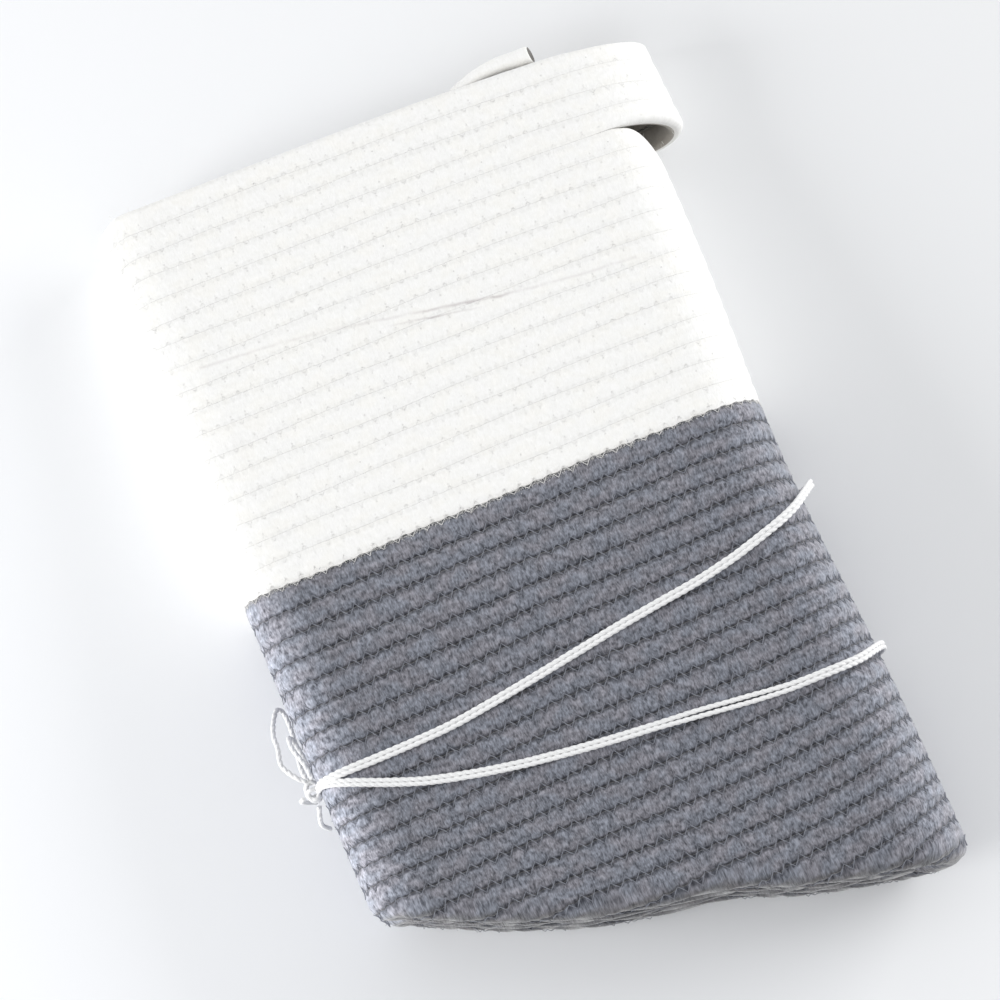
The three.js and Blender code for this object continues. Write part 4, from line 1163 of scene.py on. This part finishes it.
# name, first and last seam, fibres to a square metre, their material, the slot and the seed
for name, seams, density, fibre, slot, seed in (
        ("white_fuzz", (0, WHITE_ROWS), 2.5e4, white_thread, "white_cotton", 3),
        ("grey_fuzz", (WHITE_ROWS, ALL_ROWS), 1.2e5, grey_thread, "grey_cotton", 4),
        ("colour_line_fuzz", (WHITE_ROWS - 0.15, WHITE_ROWS + 0.1), 3e6, white_thread, "white_cotton", 5)):
    piece = grown(wall_skin(name + "_skin", *seams), name, fuzz,
                  {"Density": density, "Seed": seed, "Fibre": fibre})
    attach(piece, "root")
    print(name, len(piece.data.polygons), "faces")

# %% [markdown]
# Base and rope end
#
# The round bottom lies folded in four between the layers. Only its folded edge can be seen, from below the
# crease, so it is a thick sheet with the ridges of its ropes. The white rope's last end comes up from behind the
# rim: a short rope that grows out of the row, with a cut face.

# %% Base, folded in four
BASE_CLEARANCE = 0.8          # to the wall round it
BASE_RIDGE = 1.2              # how high its ropes stand
BASE_LEAST = 12.0             # it ends on the left where less than this much of its height is left


def base_piece():
    """The bottom as a thick sheet that follows the outer fold."""
    near = -(ROPE_INNER_HALF + BASE_CLEARANCE)
    far = -(LAYER_STEP * (1 + TUCKED_LAYERS) - ROPE_INNER_HALF - BASE_CLEARANCE)

    def flap_top(leg, t):
        past = (crease_at(leg, t) - row_y(across(leg, t), ALL_ROWS + 1)) * crease_cosine - math.pi * ROLL_RADIUS
        return crease_at(leg, t) + past / crease_cosine + BASE_CLEARANCE

    edge = 1.0
    while edge > -1 and flap_top(BACK, np.float64((edge + 1) / 2)) < BASE_TOP_Y - BASE_LEAST:
        edge -= 0.01
    rings = []
    rows = np.linspace(0, 1, 60)
    for leg, parts in ((BACK, np.linspace((edge + 1) / 2, 1, 60)), (OUTER_FOLD, np.linspace(0.02, 0.98, 24)),
                       (FRONT, np.linspace(0, (1 - edge) / 2, 60))):
        for t in parts:
            x, z, nx, nz = (float(v) for v in outline(leg, np.float64(t), np.float64(1.0)))
            low = float(flap_top(leg, np.float64(t)))
            y = low + (BASE_TOP_Y - low) * rows
            ridge = BASE_RIDGE * np.abs(np.sin(math.pi * y / GREY_PITCH))
            upper = np.stack([x + nx * (near - BASE_RIDGE + ridge), y, z + nz * (near - BASE_RIDGE + ridge)], -1)
            lower = np.stack([x + nx * (far + BASE_RIDGE - ridge), y, z + nz * (far + BASE_RIDGE - ridge)], -1)
            rings.append(np.concatenate([upper, lower[::-1]]))
    piece = tubes_object("folded_base", [np.array(rings)], grey_cotton)
    points = np.array(rings).reshape(-1, 3)
    uv = np.concatenate([points[:, :2], np.zeros((2, 2))])
    set_uv(piece, "rope", uv)
    set_uv(piece, "stitch", np.zeros_like(uv))
    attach(piece, "root")
    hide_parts("base_rope_grey")
    print("folded base:", len(rings), "rings")


base_piece()

# %% Rope end on the rim
ROPE_END_LENGTH, ROPE_END_X = 39.0, 86.5        # x is where it ends
ROPE_END_HALF, ROPE_END_RISE = 4.1, 4.9
ROPE_END_ARCH = 1.3, 0.6      # the rise is a half wave of so many lengths, and level past this part of the wave
ROPE_END_SINK, ROPE_END_LIFT = 1.0, 1.0         # into the rim, and upwards
ROPE_END_SLANT = 1.8          # of the cut face
ROPE_END_THIN = 0.35          # of its thickness, where it starts
BEVEL, BEVEL_START = 0.12, 0.97                 # of its thickness and its length, at the cut face
# painted shade: the cut face is coloured dark for the shade in the rope's frayed cut
cut_face_shade = plain_cotton("cut_face_shade", (0.17, 0.16, 0.15))


def rope_end_piece():
    """A short rope that grows out of the rim and ends in a cut face, painted dark as the shade in its frayed cut."""
    steps, sides = 60, 20
    s = stack(0.0)
    z = (s["front"] + s["inner_front"]) / 2 + ROPE_END_LIFT
    rings = []
    for k in range(steps + 1):
        share = k / steps
        x = ROPE_END_X - ROPE_END_LENGTH * (1 - share)
        half = ROPE_END_HALF * (ROPE_END_THIN + (1 - ROPE_END_THIN) * math.sqrt(share))
        half *= 1 - BEVEL * max(0.0, (share - BEVEL_START) / (1 - BEVEL_START))
        rise = ROPE_END_RISE * math.sin(math.pi * min(share / ROPE_END_ARCH[0], ROPE_END_ARCH[1]))
        y = float(row_y(x / HALF_WIDTH, 0)) + rise - ROPE_END_SINK
        turn = 2 * math.pi * np.arange(sides) / sides
        slant = -ROPE_END_SLANT * share ** 8 * (1 + np.sin(turn)) / 2
        rings.append(np.stack([x + slant, y + half * np.cos(turn), z + half * np.sin(turn)], axis=-1))
    rings = np.array(rings)
    piece = tubes_object("rim_rope_end", [rings], white_cotton)
    piece.data.materials.append(cut_face_shade)
    for face in list(piece.data.polygons)[-sides:]:
        face.material_index = 1
    around = np.broadcast_to(np.arange(sides) * ROPE_GIRTH / sides, (steps + 1, sides))
    uv = np.stack([rings[:, :, 0], around], axis=-1).reshape(-1, 2)
    set_uv(piece, "rope", np.concatenate([uv, np.zeros((2, 2))]))
    set_uv(piece, "stitch", np.zeros((len(uv) + 2, 2)))
    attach(piece, "root")
    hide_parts("rim_rope_end_white")
    print("rope end:", steps, "steps over", ROPE_END_LENGTH, "mm")


rope_end_piece()

# %% [markdown]
# String
#
# One doubled cotton string goes twice round the bundle. Its strands follow the wall's outline where it lies on
# the ropes, so the route is made of the same legs and parts of legs as the wall. Each strand is two plies that
# are wound round each other, made as one mesh from two tubes side by side.

# %% Routes of the string
STRING_DIAMETER = 1.9
STRAND_SPACING = 1.95         # between the middles of a band's two strands
STRING_CLEARANCE = 0.2        # to the ropes
PLY_PITCH = 6.5               # along the string, for one turn
PLY_SIDES = 8
PLY_RADIUS, PLY_OFFSET = 0.8, 0.32
STRING_STEP, SPLINE_STEPS = 0.45, 24            # from ring to ring, and from given point to given point
KNOT_Y = 139.0
# how far a place is to the right, measured along the surface, and how high the band's middle is there
UPPER_ROUTE = [(-132, 139.8), (-118, 140.1), (-106, 139.8), (-96, 139.5), (-77, 139.3), (-57.5, 139.6), (-38, 141.7),
               (-18.7, 144.2), (0.7, 146.9), (20.2, 149.7), (39.6, 152.0), (59.1, 154.0), (78.5, 157.5),
               (98.5, 163.1), (110.4, 167.5), (120.3, 172.6), (130, 176.2), (140, 178.0)]
LOWER_ROUTE = [(-132, 138.6), (-118, 139.4), (-106, 135.2), (-96.3, 130.7), (-77, 122.9), (-57.6, 117.7),
               (-38.3, 113.6), (-18.9, 110.5), (0.4, 107.9), (19.7, 105.8), (39, 103.5), (58.3, 100.8),
               (77.6, 98.5), (97.3, 98.2), (110, 98.8), (121.5, 101.3), (130, 102.6), (140, 103)]
ROUTE_SOFTNESS = 5.0          # millimetres to each side over which the routes are rounded
# how far the strands part, against their spacing: the lower band's to the right, and both bands' by the knot
PARTED = [(20, 1.0), (38, 1.35), (62, 1.35), (82, 1.0)]
GATHERED = [(-125, 0.55), (-100, 1.0)]
UPPER_BACK_BEND, LOWER_BACK_BEND = 1.6, 0.7     # the powers that bend the bands' way over the back
LYING = STRING_DIAMETER / 2 + STRING_CLEARANCE  # above the ropes, where they are round
PRESSED = -1.1                                  # and on the back, which the bundle's weight presses down


def smooth_path(points, step):
    """Points every step millimetres along a Catmull-Rom spline through the given points."""
    p = np.asarray(points, float)
    q = np.vstack([2 * p[0] - p[1], p, 2 * p[-1] - p[-2]])
    dense = []
    for k in range(len(p) - 1):
        t = np.linspace(0, 1, SPLINE_STEPS, endpoint=False)[:, None]
        a, b, c, d = q[k], q[k + 1], q[k + 2], q[k + 3]
        dense.append(0.5 * (2 * b + (c - a) * t + (2 * a - 5 * b + 4 * c - d) * t ** 2
                            + (3 * b - a - 3 * c + d) * t ** 3))
    dense = np.concatenate(dense + [p[-1:]])
    length = np.concatenate([[0], np.cumsum(np.linalg.norm(np.diff(dense, axis=0), axis=1))])
    at = np.linspace(0, length[-1], max(4, int(length[-1] / step)))
    return np.stack([np.interp(at, length, dense[:, k]) for k in range(3)], axis=-1)


def path_frames(path):
    """Tangents and two normals that turn as little as possible along the path."""
    tangent = np.gradient(path, axis=0)
    tangent /= np.linalg.norm(tangent, axis=1)[:, None]
    side = np.zeros_like(tangent)
    guess = np.cross(tangent[0], (0.3, 0.5, 0.81))
    for k, way in enumerate(tangent):
        guess = guess - way * guess.dot(way)
        guess = guess / np.linalg.norm(guess)
        side[k] = guess
    return tangent, side, np.cross(tangent, side)


def tube_rings(path, radius, sides):
    """The rings of a round tube along a path."""
    _, side, other = path_frames(path)
    turn = 2 * math.pi * np.arange(sides) / sides
    return path[:, None] + radius * (side[:, None] * np.cos(turn)[None, :, None]
                                     + other[:, None] * np.sin(turn)[None, :, None])


def ply_tubes(path, phase):
    """The string's two plies, wound round its path, as the rings of two tubes."""
    _, side, other = path_frames(path)
    length = np.concatenate([[0], np.cumsum(np.linalg.norm(np.diff(path, axis=0), axis=1))])
    turns = [2 * math.pi * (length / PLY_PITCH + k / 2) + phase for k in range(2)]
    plies = [path + PLY_OFFSET * (side * np.cos(turn)[:, None] + other * np.sin(turn)[:, None]) for turn in turns]
    return [tube_rings(ply, PLY_RADIUS, PLY_SIDES) for ply in plies]


def string_object(name, path, phase):
    """A two-ply string as one mesh, and its path."""
    path = smooth_path(path, STRING_STEP)
    return tubes_object(name, ply_tubes(path, phase), string_cotton), path


def surface_way(leg, t, above):
    """How far right a place on the front half lies, measured along the surface."""
    s = stack(1.0)
    left_radius = s["left_radius"] + ROPE_OUTER_HALF + above
    right_radius = s["outer_radius"] + ROPE_OUTER_HALF + above
    if leg == FRONT_FOLD:
        return s["left_x"] - math.pi * t * left_radius
    if leg == FRONT:
        return s["right_x"] + (s["left_x"] - s["right_x"]) * t
    return s["right_x"] + math.pi * (1 - t) * right_radius


def band_leg(upper, leg, t, above, side):
    """Points of one strand of a band over a leg of the bundle. Side is 1 or -1."""
    t = np.asarray(t, float)
    x, z, nx, nz = outline(leg, t, 1.0 + 0 * t)
    out = ROPE_OUTER_HALF + above
    ways, heights = np.array(UPPER_ROUTE if upper else LOWER_ROUTE).T
    if leg in (BACK, BACK_FOLD):
        s = stack(1.0)
        share = np.clip((x - s["left_x"]) / (s["right_x"] - s["left_x"]), 0, 1)
        y = KNOT_Y + (heights[-1] - KNOT_Y) * share ** (UPPER_BACK_BEND if upper else LOWER_BACK_BEND)
        apart = 1.0
    else:
        way = surface_way(leg, t, above)
        offsets = np.linspace(-1, 1, 5) * ROUTE_SOFTNESS
        y = sum(np.interp(way + offset, ways, heights) for offset in offsets) / len(offsets)
        if leg == OUTER_FOLD:
            y = np.where(t < 0.5, heights[-1], y)
        apart = 1.0 if upper else np.interp(way, *np.array(PARTED).T)
        apart = apart * np.interp(way, *np.array(GATHERED).T)
    return np.stack([x + nx * out, y + side * apart * STRAND_SPACING / 2, z + nz * out], axis=-1)


def band_path(upper, side):
    """One strand of a band: out of the knot, over the front, round the outer fold and back under the bundle."""
    pieces = [
        [(KNOT_CENTRE[0] + 1.5, KNOT_Y + 0.6 * side, KNOT_CENTRE[2] + KNOT_HALF_THICKNESS * 0.4)],
        band_leg(upper, FRONT_FOLD, [0.3, 0.2, 0.1], LYING, side),
        band_leg(upper, FRONT, np.linspace(1, 0, 24), LYING, side),
        band_leg(upper, OUTER_FOLD, np.linspace(0.95, 0.05, 11), LYING, side),
        band_leg(upper, BACK, np.linspace(1, 0, 24), PRESSED, side),
        band_leg(upper, BACK_FOLD, [0.9, 0.75, 0.6], LYING, side),
        [(KNOT_CENTRE[0] + 1.5, KNOT_Y + 0.6 * side, KNOT_CENTRE[2] - KNOT_HALF_THICKNESS * 0.6)],
    ]
    return np.concatenate([np.asarray(p, float) for p in pieces])


# %% Knot and bow
KNOT_CENTRE = np.array([-121.2, 139.0, 50.1])
KNOT_HALF_THICKNESS = 4.0
# each turn's tilt in radians, how far it is moved along its own axis, and half its length
KNOT_TURNS = (0.5, -1.6, 4.6), (-0.45, 1.5, 4.4), (1.25, 0.2, 4.0)
KNOT_SHIFT, KNOT_HALF_DEPTH, KNOT_PRESS = -0.4, 2.6, 0.85   # to the left, away from the edge, and how flat it is
# from the knot's centre: loops start and end at the knot, tails start there
LOOP_OUTER = [(-1.5, 5.2, 2), (-5, 9, 1.8), (-8.5, 16, -2), (-7.5, 24, -7), (-7.4, 30, -11), (-5.5, 36, -15),
              (-2.5, 41, -20), (-0.6, 39, -26), (-0.5, 30, -24), (-1.5, 20, -17), (-2, 12, -9), (-1, 4.5, -3.2)]
LOOP_INNER = [(1.4, 5.2, 2.2), (0.8, 12, 2.4), (-1.5, 20, -1), (-1.6, 26, -6), (-0.4, 24, -11), (0.9, 16, -8),
              (1.4, 6, -0.9)]
TAIL_LOWER = [(-0.4, -6.1, 0), (-2, -9.6, -2.6), (-3.2, -12, -12), (-2.4, -12.5, -24), (-2, -12, -36)]
TAIL_UPPER = [(-5.4, -0.5, -1), (-6.8, -0.8, -5), (-5.2, -1, -14), (-3.6, -0.4, -24), (-3, 0.5, -34)]


def knot_object(name):
    """Three tight turns of the string that cross over one another."""
    tubes = []
    a = np.linspace(0, 2 * math.pi, 40)
    for k, (tilt, lift, reach) in enumerate(KNOT_TURNS):
        x, y, z = KNOT_SHIFT + KNOT_HALF_DEPTH * np.cos(a), reach * np.sin(a), 0 * a + lift
        y, z = y * math.cos(tilt) - z * math.sin(tilt), y * math.sin(tilt) + z * math.cos(tilt)
        path = smooth_path(KNOT_CENTRE + np.stack([x, y, z * KNOT_PRESS], axis=-1), 0.5)
        tubes += ply_tubes(path, k)
    return tubes_object(name, tubes, string_cotton)


def free_string(name, route, node, phase):
    """A loop or tail that hangs from the knot."""
    piece, path = string_object(name, KNOT_CENTRE + np.array(route), phase)
    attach(piece, "root")
    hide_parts(node)


def dress_string():
    """Knot, bow, tails and the four strands of the two bands."""
    knot = knot_object("knot")
    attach(knot, "root")
    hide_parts("tie_knot")
    free_string("bow_loop_outer", LOOP_OUTER, "tie_bow_loop_outer", 0.3)
    free_string("bow_loop_inner", LOOP_INNER, "tie_bow_loop_inner", 1.3)
    free_string("tail_lower", TAIL_LOWER, "tie_tail_lower", 2.0)
    free_string("tail_upper", TAIL_UPPER, "tie_tail_upper", 0.8)
    for upper, band in ((True, "upper"), (False, "lower")):
        for number, side in ((1, 1), (2, -1)):
            strand, _ = string_object(f"{band}_strand_{number}", band_path(upper, side), number + 3.1 * upper)
            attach(strand, "root")
            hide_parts(f"tie_{band}_strand_{number}")
            print(band, "band, strand", number, "with", len(strand.data.polygons), "faces")


dress_string()
